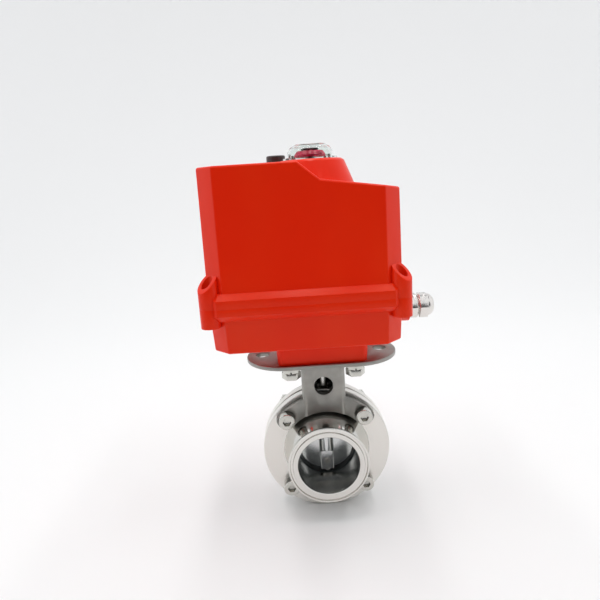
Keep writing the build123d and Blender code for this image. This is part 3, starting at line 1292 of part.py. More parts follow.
NUT_START = GLAND_SEAT_X + GLAND_HEX_L + 1.2
NUT_INNER = GLAND_SEAT_X + GLAND_HEX_L + GLAND_WAIST_L + 0.2
with BuildPart() as gland_nut:
    with BuildSketch(gland_plane(NUT_START)):
        RegularPolygon(hexagon(GLAND_FLATS), 6)
    extrude(amount=7.0)
    chamfer(gland_nut.faces().sort_by(Axis.X)[0].edges(), 0.5)
    with BuildSketch(Plane.XZ):
        with BuildLine():
            Line((NUT_START + 6.5, GLAND_AXIS_Z), (NUT_START + 6.5, GLAND_AXIS_Z + GLAND_FLATS / 2))
            ThreePointArc((NUT_START + 6.5, GLAND_AXIS_Z + GLAND_FLATS / 2),
                          (NUT_START + 10.2, GLAND_AXIS_Z + 7.7),
                          (NUT_START + GLAND_NUT_L, GLAND_AXIS_Z + 5.4))
            Polyline((NUT_START + GLAND_NUT_L, GLAND_AXIS_Z + 5.4),
                     (NUT_START + GLAND_NUT_L, GLAND_AXIS_Z), (NUT_START + 6.5, GLAND_AXIS_Z))
        make_face()
    revolve(axis=Axis((0, 0, GLAND_AXIS_Z), (1, 0, 0)))
    with BuildSketch(gland_plane(NUT_START)):
        Circle(GLAND_WAIST_R + SEAT)
    extrude(amount=NUT_INNER - NUT_START, mode=Mode.SUBTRACT)
    with BuildSketch(gland_plane(NUT_START)):
        Circle(GLAND_HOLE_R + 0.4)
    extrude(amount=40, mode=Mode.SUBTRACT)
write(gland_nut.part, "gland_nut")

with BuildPart() as gland_sleeve:
    with BuildSketch(gland_plane(GLAND_SEAT_X - 4)):
        Circle(GLAND_SLEEVE_R)
        Circle(GLAND_HOLE_R, mode=Mode.SUBTRACT)
    extrude(amount=NUT_INNER - GLAND_SEAT_X + 4)
write(gland_sleeve.part, "gland_sleeve")

with BuildPart() as gland_locknut:
    with BuildSketch(gland_plane(WALL_IN_X)):
        RegularPolygon(hexagon(20.0), 6)
        Circle(GLAND_THREAD_R + SEAT, mode=Mode.SUBTRACT)
    extrude(amount=-LOCKNUT_T)
write(gland_locknut.part, "gland_locknut")

# ------------------------------------------------ indicator, cap and nameplate
with BuildPart() as indicator_drum:
    with BuildSketch(Plane.XZ):
        with BuildLine():
            Polyline([
                (0, DRUM_Z), (DRUM_R, DRUM_Z), (DRUM_R, DRUM_Z + 1.6),
                (DRUM_TOP_R, DRUM_Z + DRUM_H), (0, DRUM_Z + DRUM_H),
            ], close=True)
        make_face()
    revolve(axis=Axis.Z)
    with BuildSketch(at(0, 0, DRUM_Z)):
        Circle(INDICATOR_SHAFT_R + SEAT)
    extrude(amount=DRUM_H - 1, mode=Mode.SUBTRACT)
    with BuildSketch(at(0, 0, DRUM_Z + DRUM_H)):
        Rectangle(2 * DRUM_R, 2.4)
    extrude(amount=-1.0, mode=Mode.SUBTRACT)
write(indicator_drum.part, "indicator_drum")

with BuildPart() as indicator_pointer:
    with BuildSketch(at(0, 0, DRUM_Z + DRUM_H - 1.0)):
        Rectangle(2 * DRUM_TOP_R - 1, 2.4 - 2 * SEAT)
    extrude(amount=1.0)
write(indicator_pointer.part, "indicator_pointer")

with BuildPart() as indicator_cap:
    with BuildSketch(at(0, 0, DRUM_Z + DRUM_H)):
        Circle(KNOB_R)
    extrude(amount=KNOB_H, taper=-KNOB_FLARE)
write(indicator_cap.part, "indicator_cap")


def dome_section(inset, low, high):
    """Half section of the dome's bell: radius against height, as a closed outline."""
    with BuildSketch(Plane.XZ) as section:
        with BuildLine():
            shoulder = (DOME_TOP_R - inset, high - 1.2)
            Line((0, low), (DOME_R - inset, low))
            Line((DOME_R - inset, low), (DOME_R - inset, low + 4))
            ThreePointArc((DOME_R - inset, low + 4), (DOME_R - inset - 0.7, (low + high) / 2 + 2.4),
                          shoulder)
            Polyline(shoulder, (DOME_TOP_R - inset - 2.0, high), (0, high), (0, low))
        make_face()
    return section.sketch


DOME_SCREW_PCR = (DOME_R + DOME_FLANGE_R) / 2 + 0.2
dome_outside = dome_section(0, TURRET_Z, TURRET_Z + DOME_H)
dome_inside = dome_section(DOME_WALL, TURRET_Z, TURRET_Z + DOME_H - DOME_WALL)
with BuildPart() as indicator_dome:
    revolve(dome_outside, axis=Axis.Z)
    with BuildSketch(at(0, 0, TURRET_Z)):
        Circle(DOME_FLANGE_R)
    extrude(amount=DOME_FLANGE_T)
    revolve(dome_inside, axis=Axis.Z, mode=Mode.SUBTRACT)
    with BuildSketch(at(0, 0, TURRET_Z)):
        with PolarLocations(DOME_SCREW_PCR, 4, start_angle=45):
            Circle(DOME_SCREW_R + 0.1)
    extrude(amount=DOME_FLANGE_T, mode=Mode.SUBTRACT)
write(indicator_dome.part, "indicator_dome")

with BuildPart() as dome_screws:
    with BuildSketch(at(0, 0, TURRET_Z + DOME_FLANGE_T)):
        with PolarLocations(DOME_SCREW_PCR, 4, start_angle=45):
            Circle(DOME_SCREW_HEAD_R)
    extrude(amount=DOME_SCREW_HEAD_H)
    with BuildSketch(at(0, 0, TURRET_Z + DOME_FLANGE_T)):
        with PolarLocations(DOME_SCREW_PCR, 4, start_angle=45):
            Circle(DOME_SCREW_R)
    extrude(amount=-DOME_FLANGE_T)
write(dome_screws.part, "dome_screws")

CAP_Z = TOP_Z + CAP_BOSS_H
with BuildPart() as override_cap:
    with BuildSketch(at(*OVERRIDE, CAP_Z)):
        Circle(CAP_R)
    extrude(amount=CAP_TALL)
    fillet(override_cap.edges().group_by(Axis.Z)[-1], 1.2)
    with BuildSketch(at(*OVERRIDE, CAP_Z)):
        Circle(OVERRIDE_R + FREE)
    extrude(amount=CAP_TALL - 2.0, mode=Mode.SUBTRACT)
write(override_cap.part, "override_cap")

NAMEPLATE_X = SIDE_X - NAMEPLATE_UP * tan(radians(COVER_DRAFT))
with BuildPart() as nameplate:
    with BuildSketch(Plane(origin=(NAMEPLATE_X - NAMEPLATE_SUNK, 0, JOINT_Z + NAMEPLATE_UP),
                           x_dir=(0, 1, 0), z_dir=(1, 0, 0))):
        RectangleRounded(NAMEPLATE_Y, NAMEPLATE_Z, 2.0)
    extrude(amount=NAMEPLATE_SUNK + NAMEPLATE_T)
    add(top_cover.part, mode=Mode.SUBTRACT)
write(nameplate.part, "nameplate")
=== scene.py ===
"""Looks of a motorized butterfly valve: red actuator, steel bracket and sanitary valve body.

The fixed model is loaded as a frame.  Each operator finishes one group of its
pieces, and the last one makes the studio.  Lengths are in metres.
"""

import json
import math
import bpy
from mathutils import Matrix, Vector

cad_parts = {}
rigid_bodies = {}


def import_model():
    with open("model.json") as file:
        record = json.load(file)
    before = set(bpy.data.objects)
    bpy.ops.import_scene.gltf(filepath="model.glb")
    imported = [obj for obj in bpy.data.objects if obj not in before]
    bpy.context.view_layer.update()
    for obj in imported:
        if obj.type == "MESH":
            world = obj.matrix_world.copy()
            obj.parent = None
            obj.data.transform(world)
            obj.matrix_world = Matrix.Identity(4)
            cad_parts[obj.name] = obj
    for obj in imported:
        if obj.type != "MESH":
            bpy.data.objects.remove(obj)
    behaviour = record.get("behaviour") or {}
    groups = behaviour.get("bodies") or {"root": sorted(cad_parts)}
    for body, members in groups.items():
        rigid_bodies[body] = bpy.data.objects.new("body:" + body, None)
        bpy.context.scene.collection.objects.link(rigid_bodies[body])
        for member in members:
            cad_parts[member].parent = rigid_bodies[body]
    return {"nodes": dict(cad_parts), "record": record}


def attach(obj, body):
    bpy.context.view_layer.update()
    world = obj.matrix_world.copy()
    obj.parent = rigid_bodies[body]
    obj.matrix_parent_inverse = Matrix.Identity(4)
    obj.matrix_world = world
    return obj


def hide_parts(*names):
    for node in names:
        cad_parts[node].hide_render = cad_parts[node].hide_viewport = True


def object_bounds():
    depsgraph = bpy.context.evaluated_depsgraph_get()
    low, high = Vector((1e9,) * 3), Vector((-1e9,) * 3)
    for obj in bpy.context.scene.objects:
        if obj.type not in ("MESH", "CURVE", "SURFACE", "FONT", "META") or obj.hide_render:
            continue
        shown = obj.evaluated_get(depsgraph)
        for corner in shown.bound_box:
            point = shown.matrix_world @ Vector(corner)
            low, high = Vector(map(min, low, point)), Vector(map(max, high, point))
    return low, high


bl_info = {
    "name": "Motorized valve looks",
    "version": (1, 0, 0),
    "blender": (4, 5, 0),
    "location": "View3D > Sidebar > Valve",
    "description": "Finishes the pieces of a motorized butterfly valve and lights them",
    "category": "Object",
}

import bmesh
import bpy
from mathutils import Matrix, Vector

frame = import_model()

WHOLE_LOW, WHOLE_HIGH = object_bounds()

# Radii about the pipe's axis where the finish of the valve body changes.
BORE_SIDE_R = 0.0250
CONE_FOOT_R = 0.0356
FLANGE_FACE_R = 0.0364
LATHE_PITCH = 0.00035

MERGE_DISTANCE = 2e-6
FLAT_LIMIT = 0.6               # degrees: faces this flat to each other become one
HARD_LIMIT = 28.0              # degrees: edges this sharp are rounded

SWEEP_STEPS = 24
SWEEP_FRONT = -3.0
SWEEP_HALF_WIDTH = 4.0
SWEEP_TOP = 3.0
STRIP_WIDTH = 0.10
STRIP_LENGTH = 0.9
STRIP_PLACE = (-0.05, 1.12)    # y and z of every strip light
STRIP_SPACING = 0.42
SENSOR_WIDTH = 36.0


# ------------------------------------------------------------------ settings
def length(name, description, default):
    """A length property in metres."""
    return bpy.props.FloatProperty(name=name, description=description, default=default,
                                   unit="LENGTH", min=0.0)


def colour(name, description, default):
    """A colour property."""
    return bpy.props.FloatVectorProperty(name=name, description=description, default=default,
                                         subtype="COLOR", size=3, min=0.0, max=1.0)


def factor(name, description, default):
    """A property from 0 to 1."""
    return bpy.props.FloatProperty(name=name, description=description, default=default,
                                   subtype="FACTOR", min=0.0, max=1.0)


class HousingSettings(bpy.types.PropertyGroup):
    """Colour and skin of the red housing."""
    red: colour("Red", "Moulded housing colour", (0.86, 0.020, 0.002))
    red_light: colour("Light red", "Housing colour where the plastic is thin or scuffed",
                      (0.92, 0.050, 0.006))
    roughness: factor("Roughness", "Gloss of the moulded plastic", 0.32)
    grain: length("Grain", "Size of the fine ripple of the plastic", 0.0009)


class MetalSettings(bpy.types.PropertyGroup):
    """Finish of the steel pieces."""
    polish: factor("Polish", "Roughness of the mirror polished steel", 0.11)
    satin: factor("Satin", "Roughness of the turned flange faces", 0.30)
    blasted: factor("Blasted", "Roughness of the cast bracket", 0.42)
    steel: colour("Steel", "Colour of the stainless steel", (0.70, 0.69, 0.66))


class StudioSettings(bpy.types.PropertyGroup):
    """Floor, light and camera."""
    floor: colour("Floor", "Colour of the floor and the backdrop", (0.92, 0.92, 0.915))
    sweep_start: length("Sweep start", "Where the floor starts to curve up", 0.5)
    sweep_radius: length("Sweep radius", "Radius of the curve behind the object", 1.2)
    air: bpy.props.FloatProperty(name="Air", description="Strength of the light all round",
                                 default=1.02, min=0.0)
    strips: bpy.props.FloatProperty(name="Strips", description="Power of each strip light",
                                    default=3.0, min=0.0, unit="POWER")
    lens: bpy.props.FloatProperty(name="Lens", description="Focal length in millimetres",
                                  default=30.87, min=1.0)
    camera: bpy.props.FloatVectorProperty(name="Camera", description="Place of the camera",
                                          default=(-0.0144, -0.4012, 0.2156), size=3,
                                          unit="LENGTH")
    tilt: bpy.props.FloatProperty(name="Tilt", description="How far the camera looks down",
                                  default=0.2203, unit="ROTATION")
    lean: bpy.props.FloatProperty(name="Lean", description="Turn of the camera about its own axis",
                                  default=0.0644, unit="ROTATION")


# ----------------------------------------------------------------- materials
class Value:
    """One output of a shader node, with arithmetic."""

    def __init__(self, tree, socket):
        self.tree = tree
        self.socket = socket

    def _math(self, operation, first, second):
        node = self.tree.nodes.new("ShaderNodeMath")
        node.operation = operation
        for slot, item in enumerate((first, second)):
            if isinstance(item, Value):
                self.tree.links.new(item.socket, node.inputs[slot])
            else:
                node.inputs[slot].default_value = item
        return Value(self.tree, node.outputs[0])

    def __add__(self, other):
        return self._math("ADD", self, other)

    def __radd__(self, other):
        return self._math("ADD", other, self)

    def __sub__(self, other):
        return self._math("SUBTRACT", self, other)

    def __rsub__(self, other):
        return self._math("SUBTRACT", other, self)

    def __mul__(self, other):
        return self._math("MULTIPLY", self, other)

    def __rmul__(self, other):
        return self._math("MULTIPLY", other, self)

    def __truediv__(self, other):
        return self._math("DIVIDE", self, other)


class Finish:
    """A procedural material with one Principled shader."""

    def __init__(self, name, base, roughness, metallic=0.0, **fixed):
        self.material = bpy.data.materials.new(name)
        self.material.use_nodes = True
        self.tree = self.material.node_tree
        self.shader = self.tree.nodes["Principled BSDF"]
        self.shader.inputs["Base Color"].default_value = (*base, 1.0)
        self.shader.inputs["Roughness"].default_value = roughness
        self.shader.inputs["Metallic"].default_value = metallic
        for socket, value in fixed.items():
            self.shader.inputs[socket.replace("_", " ")].default_value = value

    def node(self, kind, settings=None, output=0, **inputs):
        """Add a node: settings first, then the values or links of its sockets."""
        node = self.tree.nodes.new(kind)
        for key, value in (settings or {}).items():
            setattr(node, key, value)
        for key, value in inputs.items():
            socket = node.inputs[key.replace("_", " ")]
            if isinstance(value, Value):
                self.tree.links.new(value.socket, socket)
            else:
                socket.default_value = value
        return Value(self.tree, node.outputs[output])

    def place(self):
        """Position on the object, in metres."""
        return self.node("ShaderNodeTexCoord", output="Object")

    def noise(self, size, detail=3.0, roughness=0.5, stretch=(1, 1, 1)):
        """Noise with features of about a size in metres, from 0 to 1."""
        mapped = self.node("ShaderNodeMapping", Vector=self.place(),
                           Scale=tuple(s / size for s in stretch))
        return self.node("ShaderNodeTexNoise", Vector=mapped, Scale=1.0, Detail=detail,
                         Roughness=roughness)

    def mix(self, mask, first, second):
        """Colour mix by a mask."""
        node = self.tree.nodes.new("ShaderNodeMix")
        node.data_type = "RGBA"
        self.tree.links.new(mask.socket, node.inputs[0])
        for slot, item in ((6, first), (7, second)):
            if isinstance(item, Value):
                self.tree.links.new(item.socket, node.inputs[slot])
            else:
                node.inputs[slot].default_value = (*item, 1.0)
        return Value(self.tree, node.outputs[2])

    def between(self, value, low, high):
        """0 below low, 1 above high, smooth between."""
        return self.node("ShaderNodeMapRange", {"interpolation_type": "SMOOTHSTEP"},
                         Value=value, From_Min=low, From_Max=high)

    def feed(self, socket, value):
        """Link a value to the shader."""
        self.tree.links.new(value.socket, self.shader.inputs[socket])

    def bump(self, height, distance, strength=1.0):
        """Bump of a height in metres from a 0 to 1 value."""
        self.feed("Normal", self.node("ShaderNodeBump", Height=height, Distance=distance,
                                      Strength=strength))


def xyz(finish):
    """The three coordinates of the object's position."""
    node = finish.tree.nodes.new("ShaderNodeSeparateXYZ")
    finish.tree.links.new(finish.place().socket, node.inputs[0])
    return [Value(finish.tree, socket) for socket in node.outputs]


def root(finish, value):
    """Square root."""
    return finish.node("ShaderNodeMath", {"operation": "SQRT"}, Value=value)


def red_plastic(settings):
    """Semi-gloss moulded red plastic: fine ripple, faint flow marks, light scuffs."""
    finish = Finish("red_plastic", settings.red, settings.roughness, Specular_IOR_Level=0.26,
                    Specular_Tint=(1.0, 0.80, 0.62, 1.0))
    flow = finish.noise(0.06, detail=2.0, stretch=(1, 1, 0.4))
    speck = finish.noise(0.0012, detail=2.0)
    finish.feed("Base Color", finish.mix(finish.between(flow, 0.35, 0.75) * 0.35,
                                         settings.red, settings.red_light))
    finish.feed("Roughness", settings.roughness + (finish.noise(0.02) - 0.5) * 0.10)
    finish.bump(finish.noise(settings.grain, detail=2.0) * 0.7 + speck * 0.3, 0.000022)
    return finish.material


def polished_steel(settings):
    """Valve body: mirror polished cone, bore and ferrule, and satin turned flange faces."""
    finish = Finish("polished_steel", settings.steel, settings.polish, metallic=1.0)
    x, y, z = xyz(finish)
    radius = root(finish, x * x + z * z)
    flange = finish.between(radius, CONE_FOOT_R, FLANGE_FACE_R)
    bore = finish.between(BORE_SIDE_R - radius, 0.0, 0.0003)
    lines = finish.node("ShaderNodeTexNoise", {"noise_dimensions": "1D"}, W=radius / LATHE_PITCH,
                        Scale=1.0, Detail=2.0)
    smear = finish.noise(0.012, detail=3.0)
    finish.feed("Roughness", flange * (settings.satin - settings.polish) + settings.polish
                + bore * 0.10 + (smear - 0.5) * 0.06)
    finish.feed("Base Color", finish.mix(flange, settings.steel, (0.80, 0.78, 0.74)))
    finish.bump(lines * (flange * 0.9 + 0.1), 0.000012)
    return finish.material


def turned_steel(settings, name="turned_steel", tint=(0.62, 0.61, 0.58), roughness=0.24):
    """Machined steel with fine rings and handling marks."""
    finish = Finish(name, tint, roughness, metallic=1.0)
    marks = finish.noise(0.004, detail=4.0)
    finish.feed("Roughness", roughness + (marks - 0.5) * 0.16)
    finish.bump(finish.noise(0.0006, detail=2.0, stretch=(1, 1, 3)), 0.000010)
    return finish.material


def cast_steel(settings):
    """Bracket: blasted casting with a grainy skin and slightly rubbed high spots."""
    finish = Finish("cast_steel", (0.42, 0.41, 0.38), settings.blasted, metallic=1.0)
    skin = finish.noise(0.0011, detail=4.0, roughness=0.6)
    blotch = finish.noise(0.016, detail=3.0)
    finish.feed("Base Color", finish.mix(finish.between(blotch, 0.3, 0.7),
                                         (0.30, 0.295, 0.275), (0.38, 0.37, 0.345)))
    finish.feed("Roughness", settings.blasted + (skin - 0.5) * 0.2)
    finish.bump(skin, 0.00006)
    return finish.material


def plain_plastic(name, shade, roughness, grain=0.0006):
    """Moulded plastic in one colour with a fine skin."""
    finish = Finish(name, shade, roughness)
    light = tuple(min(1.0, c * 1.25 + 0.01) for c in shade)
    finish.feed("Base Color", finish.mix(finish.noise(0.01) * 0.5, shade, light))
    finish.feed("Roughness", roughness + (finish.noise(0.005) - 0.5) * 0.12)
    finish.bump(finish.noise(grain, detail=2.0), 0.00002)
    return finish.material


def rubber(name, shade, roughness=0.55):
    """Moulded rubber, slightly dusty."""
    finish = Finish(name, shade, roughness, Specular_IOR_Level=0.35)
    dust = finish.noise(0.006, detail=4.0)
    pale = tuple(c + 0.03 for c in shade)
    finish.feed("Base Color", finish.mix(finish.between(dust, 0.45, 0.8), shade, pale))
    finish.feed("Roughness", roughness + (dust - 0.5) * 0.2)
    finish.bump(finish.noise(0.0005, detail=2.0), 0.00002)
    return finish.material


def clear_plastic():
    """Clear dome: thin moulded polycarbonate with a slight smoke tint."""
    finish = Finish("clear_plastic", (0.90, 0.94, 0.92), 0.04, Transmission_Weight=1.0, IOR=1.12)
    haze = finish.noise(0.008, detail=3.0)
    finish.feed("Roughness", finish.between(haze, 0.4, 0.9) * 0.06 + 0.03)
    finish.bump(finish.noise(0.004, detail=1.0), 0.00001)
    return finish.material


def plated(name, tint, roughness):
    """Bright plating over turned brass."""
    finish = Finish(name, tint, roughness, metallic=1.0)
    marks = finish.noise(0.003, detail=4.0)
    finish.feed("Roughness", finish.between(marks, 0.3, 0.8) * 0.14 + roughness)
    finish.bump(finish.noise(0.0009, detail=2.0), 0.000008)
    return finish.material


def nameplate_foil():
    """Blank brushed foil plate."""
    finish = Finish("nameplate_foil", (0.62, 0.63, 0.63), 0.3, metallic=1.0)
    brushed = finish.noise(0.0004, detail=3.0, stretch=(1, 0.02, 1))
    finish.feed("Roughness", brushed * 0.25 + 0.2)
    finish.bump(brushed, 0.00001)
    return finish.material


# -------------------------------------------------------------------- meshes
def new_piece(name, mesh, material, body, slot, *nodes):
    """Link a finished mesh, give it its material and hide the CAD nodes that it replaces."""
    piece = bpy.data.objects.new(name, mesh)
    bpy.context.scene.collection.objects.link(piece)
    mesh.materials.clear()
    mesh.materials.append(material)
    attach(piece, body)
    if nodes:
        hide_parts(*nodes)
    return piece


def body_name(node):
    """The body that a node belongs to."""
    return frame["nodes"][node].parent.name.split(":", 1)[1]


def slot_name(node):
    """The record's material slot of a node."""
    for row in frame["record"]["subparts"]:
        if row["node"] == node:
            return row["material_slot"]
    raise RuntimeError(f"no slot for {node}")


def smooth_by_angle(bm, limit):
    """Shade smooth, with sharp edges where faces meet at more than a limit in degrees."""
    for face in bm.faces:
        face.smooth = True
    for edge in bm.edges:
        if len(edge.link_faces) == 2:
            edge.smooth = edge.calc_face_angle(0.0) < math.radians(limit)


def softened(node, material, edge, segments=2):
    """A copy of a node with its hard edges rounded by a small bevel."""
    mesh = frame["nodes"][node].data.copy()
    bm = bmesh.new()
    bm.from_mesh(mesh)
    bmesh.ops.remove_doubles(bm, verts=bm.verts, dist=MERGE_DISTANCE)
    bmesh.ops.dissolve_limit(bm, angle_limit=math.radians(FLAT_LIMIT), verts=bm.verts,
                             edges=bm.edges)
    hard = [e for e in bm.edges if len(e.link_faces) == 2
            and e.calc_face_angle(0.0) > math.radians(HARD_LIMIT)]
    bmesh.ops.bevel(bm, geom=hard, offset=edge, offset_type="OFFSET", affect="EDGES",
                    segments=segments, profile=0.5, material=-1, clamp_overlap=True)
    smooth_by_angle(bm, HARD_LIMIT)
    bm.to_mesh(mesh)
    bm.free()
    return new_piece(f"{node}_skin", mesh, material, body_name(node), slot_name(node), node)


def dress(material, *nodes):
    """Give CAD nodes a material."""
    for node in nodes:
        obj = frame["nodes"][node]
        obj.data.materials.clear()
        obj.data.materials.append(material)


def stage_piece(name, mesh):
    """Link a mesh that is part of the studio."""
    piece = bpy.data.objects.new(name, mesh)
    bpy.context.scene.collection.objects.link(piece)
    return piece


def card(name, material, middle, across, up):
    """A flat studio card from its middle and two half sides, seen only in reflections."""
    middle, across, up = Vector(middle), Vector(across), Vector(up)
    bm = bmesh.new()
    corners = (middle - across - up, middle + across - up, middle + across + up,
               middle - across + up)
    bm.faces.new([bm.verts.new(corner) for corner in corners])
    mesh = bpy.data.meshes.new(name)
    bm.to_mesh(mesh)
    bm.free()
    mesh.materials.append(material)
    stage_piece(name, mesh).visible_camera = False


# ----------------------------------------------------------------- operators
class VALVE_OT_housing(bpy.types.Operator):
    """Finish the red base and cover, the gasket and the blank nameplate."""
    bl_idname = "valve.housing"
    bl_label = "Housing"

    def execute(self, context):
        red = red_plastic(context.scene.valve_housing)
        for node in ("base_housing", "top_cover"):
            softened(node, red, 0.0009, segments=3)
        dress(rubber("black_gasket", (0.02, 0.02, 0.02)), "cover_gasket")
        dress(nameplate_foil(), "nameplate")
        return {"FINISHED"}


class VALVE_OT_indicator(bpy.types.Operator):
    """Finish the clear dome with the drum, pointer and cap inside it."""
    bl_idname = "valve.indicator"
    bl_label = "Position indicator"

    def execute(self, context):
        dress(clear_plastic(), "indicator_dome")
        dress(plain_plastic("crimson_plastic", (0.55, 0.010, 0.055), 0.25), "indicator_drum",
              "closed_switch_button", "open_switch_button")
        dress(plain_plastic("pointer_white", (0.82, 0.82, 0.80), 0.35), "indicator_pointer")
        dress(plain_plastic("dark_cap", (0.03, 0.035, 0.035), 0.4), "indicator_cap")
        return {"FINISHED"}


class VALVE_OT_override_cap(bpy.types.Operator):
    """Finish the rubber cap over the hand drive."""
    bl_idname = "valve.override_cap"
    bl_label = "Hand drive cap"

    def execute(self, context):
        dress(rubber("cap_rubber", (0.05, 0.05, 0.048), 0.32), "override_cap")
        return {"FINISHED"}


class VALVE_OT_gland(bpy.types.Operator):
    """Finish the cable gland."""
    bl_idname = "valve.gland"
    bl_label = "Cable gland"

    def execute(self, context):
        nickel = plated("nickel_plate", (0.78, 0.75, 0.72), 0.16)
        softened("gland_body", nickel, 0.00035)
        softened("gland_nut", nickel, 0.00035)
        dress(nickel, "gland_locknut")
        dress(rubber("gland_rubber", (0.02, 0.02, 0.02)), "gland_sleeve")
        return {"FINISHED"}


class VALVE_OT_bracket(bpy.types.Operator):
    """Finish the cast bracket and the coupling inside its neck."""
    bl_idname = "valve.bracket"
    bl_label = "Bracket"

    def execute(self, context):
        settings = context.scene.valve_metal
        softened("mounting_bracket", cast_steel(settings), 0.0007, segments=3)
        dress(turned_steel(settings), "stem_coupling", "valve_stem")
        return {"FINISHED"}


class VALVE_OT_body(bpy.types.Operator):
    """Finish the polished body halves, the disc and the rubber seat."""
    bl_idname = "valve.body"
    bl_label = "Valve body"

    def execute(self, context):
        settings = context.scene.valve_metal
        steel = polished_steel(settings)
        dress(steel, "front_body_half", "rear_body_half")
        dress(turned_steel(settings, "disc_steel", (0.66, 0.68, 0.68), 0.20), "valve_disc")
        dress(rubber("seat_rubber", (0.035, 0.045, 0.045), 0.4), "valve_seat")
        dress(plain_plastic("bush_white", (0.75, 0.74, 0.70), 0.4), "stem_bushes")
        return {"FINISHED"}


class VALVE_OT_fasteners(bpy.types.Operator):
    """Finish every bolt, nut, washer and screw."""
    bl_idname = "valve.fasteners"
    bl_label = "Fasteners"

    def execute(self, context):
        settings = context.scene.valve_metal
        bright = turned_steel(settings, "bolt_steel", (0.60, 0.59, 0.55), 0.22)
        for node in ("upper_body_bolts", "lower_body_bolts", "body_nuts", "bracket_bolts"):
            softened(node, bright, 0.0003)
        dress(bright, "bracket_flat_washers", "bracket_spring_washers", "disc_screw",
              "cover_screws", "dome_screws", "plate_screws", "board_screws", "terminal_screws")
        return {"FINISHED"}


class VALVE_OT_drive(bpy.types.Operator):
    """Finish the gears, shafts, bushes, motor and the plate that carries them."""
    bl_idname = "valve.drive"
    bl_label = "Drive train"

    def execute(self, context):
        settings = context.scene.valve_metal
        dress(turned_steel(settings, "gear_steel", (0.38, 0.38, 0.38), 0.32), "output_shaft",
              "output_gear", "gear_key", "override_shaft", "second_gear", "intermediate_shaft")
        dress(plated("machined_brass", (0.72, 0.52, 0.22), 0.25), "first_gear", "motor_pinion",
              "lower_shaft_bush", "upper_shaft_bush")
        dress(plated("zinc_plate", (0.62, 0.63, 0.62), 0.30), "gear_plate", "plate_spacers",
              "switch_bracket")
        dress(plated("motor_case", (0.52, 0.53, 0.54), 0.35), "motor_gearbox", "motor_can")
        dress(rubber("seal_rubber", (0.02, 0.02, 0.02)), "shaft_seal")
        return {"FINISHED"}


class VALVE_OT_electrics(bpy.types.Operator):
    """Finish the board, the terminals, the capacitor, the cams and the switches."""
    bl_idname = "valve.electrics"
    bl_label = "Electrics"

    def execute(self, context):
        dress(plain_plastic("board_green", (0.02, 0.16, 0.06), 0.35), "circuit_board")
        dress(plain_plastic("terminal_grey", (0.10, 0.11, 0.11), 0.45), "terminal_block",
              "closed_switch", "open_switch")
        dress(plain_plastic("nylon_white", (0.75, 0.75, 0.72), 0.45), "run_capacitor",
              "closed_cam", "open_cam")
        return {"FINISHED"}


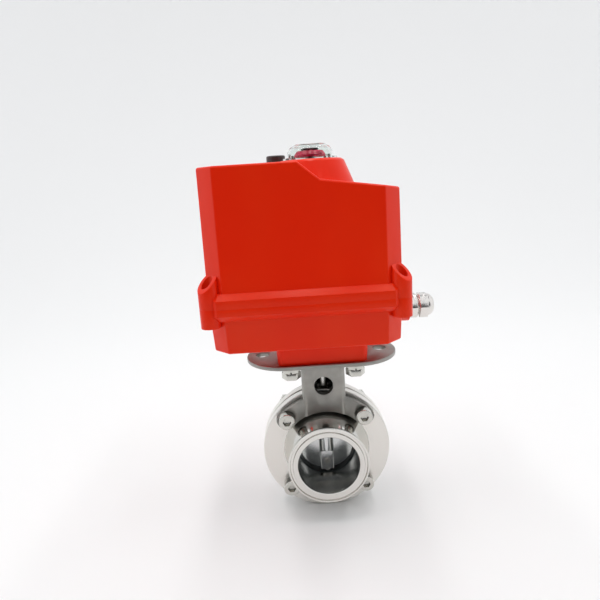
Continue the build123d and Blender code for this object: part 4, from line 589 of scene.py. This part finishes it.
class VALVE_OT_studio(bpy.types.Operator):
    """Make the pale floor and backdrop, the soft lights and the camera."""
    bl_idname = "valve.studio"
    bl_label = "Studio"

    def execute(self, context):
        settings = context.scene.valve_studio
        paper = Finish("pale_paper", settings.floor, 0.6)
        paper.feed("Roughness", paper.noise(0.05) * 0.1 + 0.55)
        sweep = [(SWEEP_FRONT, 0.0), (settings.sweep_start, 0.0)]
        for step in range(1, SWEEP_STEPS + 1):
            angle = math.pi / 2 * step / SWEEP_STEPS
            sweep.append((settings.sweep_start + settings.sweep_radius * math.sin(angle),
                          settings.sweep_radius * (1 - math.cos(angle))))
        sweep.append((settings.sweep_start + settings.sweep_radius, SWEEP_TOP))
        bm = bmesh.new()
        rows = [[bm.verts.new((x, y, WHOLE_LOW.z + z)) for y, z in sweep]
                for x in (-SWEEP_HALF_WIDTH, SWEEP_HALF_WIDTH)]
        for a, b, c, d in zip(rows[0], rows[1], rows[1][1:], rows[0][1:]):
            bm.faces.new((a, b, c, d)).smooth = True
        mesh = bpy.data.meshes.new("studio_sweep")
        bm.to_mesh(mesh)
        bm.free()
        mesh.materials.append(paper.material)
        stage_piece("studio_sweep", mesh)

        cloth = Finish("dark_cloth", (0.025, 0.027, 0.030), 0.8)
        cloth.feed("Roughness", cloth.noise(0.03) * 0.1 + 0.75)
        card("dark_screen", cloth.material, (0, -1.3, 0.35), (1.5, 0, 0), (0, 0, 0.8))
        card("dark_ceiling", cloth.material, (0, -0.05, 1.15), (0.75, 0, 0), (0, 0.55, 0))

        world = bpy.data.worlds.new("studio_air")
        world.use_nodes = True
        air = world.node_tree.nodes["Background"]
        air.inputs["Color"].default_value = (0.97, 0.98, 1.0, 1.0)
        air.inputs["Strength"].default_value = settings.air
        context.scene.world = world

        for index in range(3):
            data = bpy.data.lights.new(f"strip_light_{index}", "AREA")
            data.shape = "RECTANGLE"
            data.size = STRIP_WIDTH
            data.size_y = STRIP_LENGTH
            data.energy = settings.strips
            lamp = bpy.data.objects.new(data.name, data)
            lamp.location = ((index - 1) * STRIP_SPACING, *STRIP_PLACE)
            context.scene.collection.objects.link(lamp)

        data = bpy.data.cameras.new("camera")
        data.lens = settings.lens
        data.sensor_width = SENSOR_WIDTH
        data.clip_start = 0.01
        camera = bpy.data.objects.new("camera", data)
        context.scene.collection.objects.link(camera)
        down = settings.tilt
        lean = settings.lean
        right = Vector((1, 0, 0))
        up = Vector((0, math.sin(down), math.cos(down)))
        back = Vector((0, -math.cos(down), math.sin(down)))
        leaned_right = math.cos(lean) * right - math.sin(lean) * up
        leaned_up = math.sin(lean) * right + math.cos(lean) * up
        turn = Matrix((leaned_right, leaned_up, back)).transposed()
        camera.matrix_world = Matrix.Translation(Vector(settings.camera)) @ turn.to_4x4()
        context.scene.camera = camera
        context.scene.view_settings.view_transform = "Standard"
        return {"FINISHED"}


class VALVE_PT_looks(bpy.types.Panel):
    """Buttons for each group of pieces."""
    bl_label = "Motorized valve"
    bl_idname = "VALVE_PT_looks"
    bl_space_type = "VIEW_3D"
    bl_region_type = "UI"
    bl_category = "Valve"

    def draw(self, context):
        for operator in OPERATORS:
            self.layout.operator(operator.bl_idname)
        for group in ("valve_housing", "valve_metal", "valve_studio"):
            settings = getattr(context.scene, group)
            box = self.layout.box()
            for key in settings.__annotations__:
                box.prop(settings, key)


OPERATORS = (
    VALVE_OT_housing, VALVE_OT_indicator, VALVE_OT_override_cap, VALVE_OT_gland,
    VALVE_OT_bracket, VALVE_OT_body, VALVE_OT_fasteners, VALVE_OT_drive,
    VALVE_OT_electrics, VALVE_OT_studio,
)
SETTINGS = {
    "valve_housing": HousingSettings,
    "valve_metal": MetalSettings,
    "valve_studio": StudioSettings,
}
CLASSES = (*SETTINGS.values(), *OPERATORS, VALVE_PT_looks)


def register():
    """Register the classes and hang the settings on the scene."""
    for cls in CLASSES:
        bpy.utils.register_class(cls)
    for key, group in SETTINGS.items():
        setattr(bpy.types.Scene, key, bpy.props.PointerProperty(type=group))


def unregister():
    """Undo register."""
    for key in SETTINGS:
        delattr(bpy.types.Scene, key)
    for cls in reversed(CLASSES):
        bpy.utils.unregister_class(cls)


def main():
    """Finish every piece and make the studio."""
    register()
    for operator in OPERATORS:
        group, name = operator.bl_idname.split(".")
        getattr(getattr(bpy.ops, group), name)()


if __name__ == "__main__":
    main()
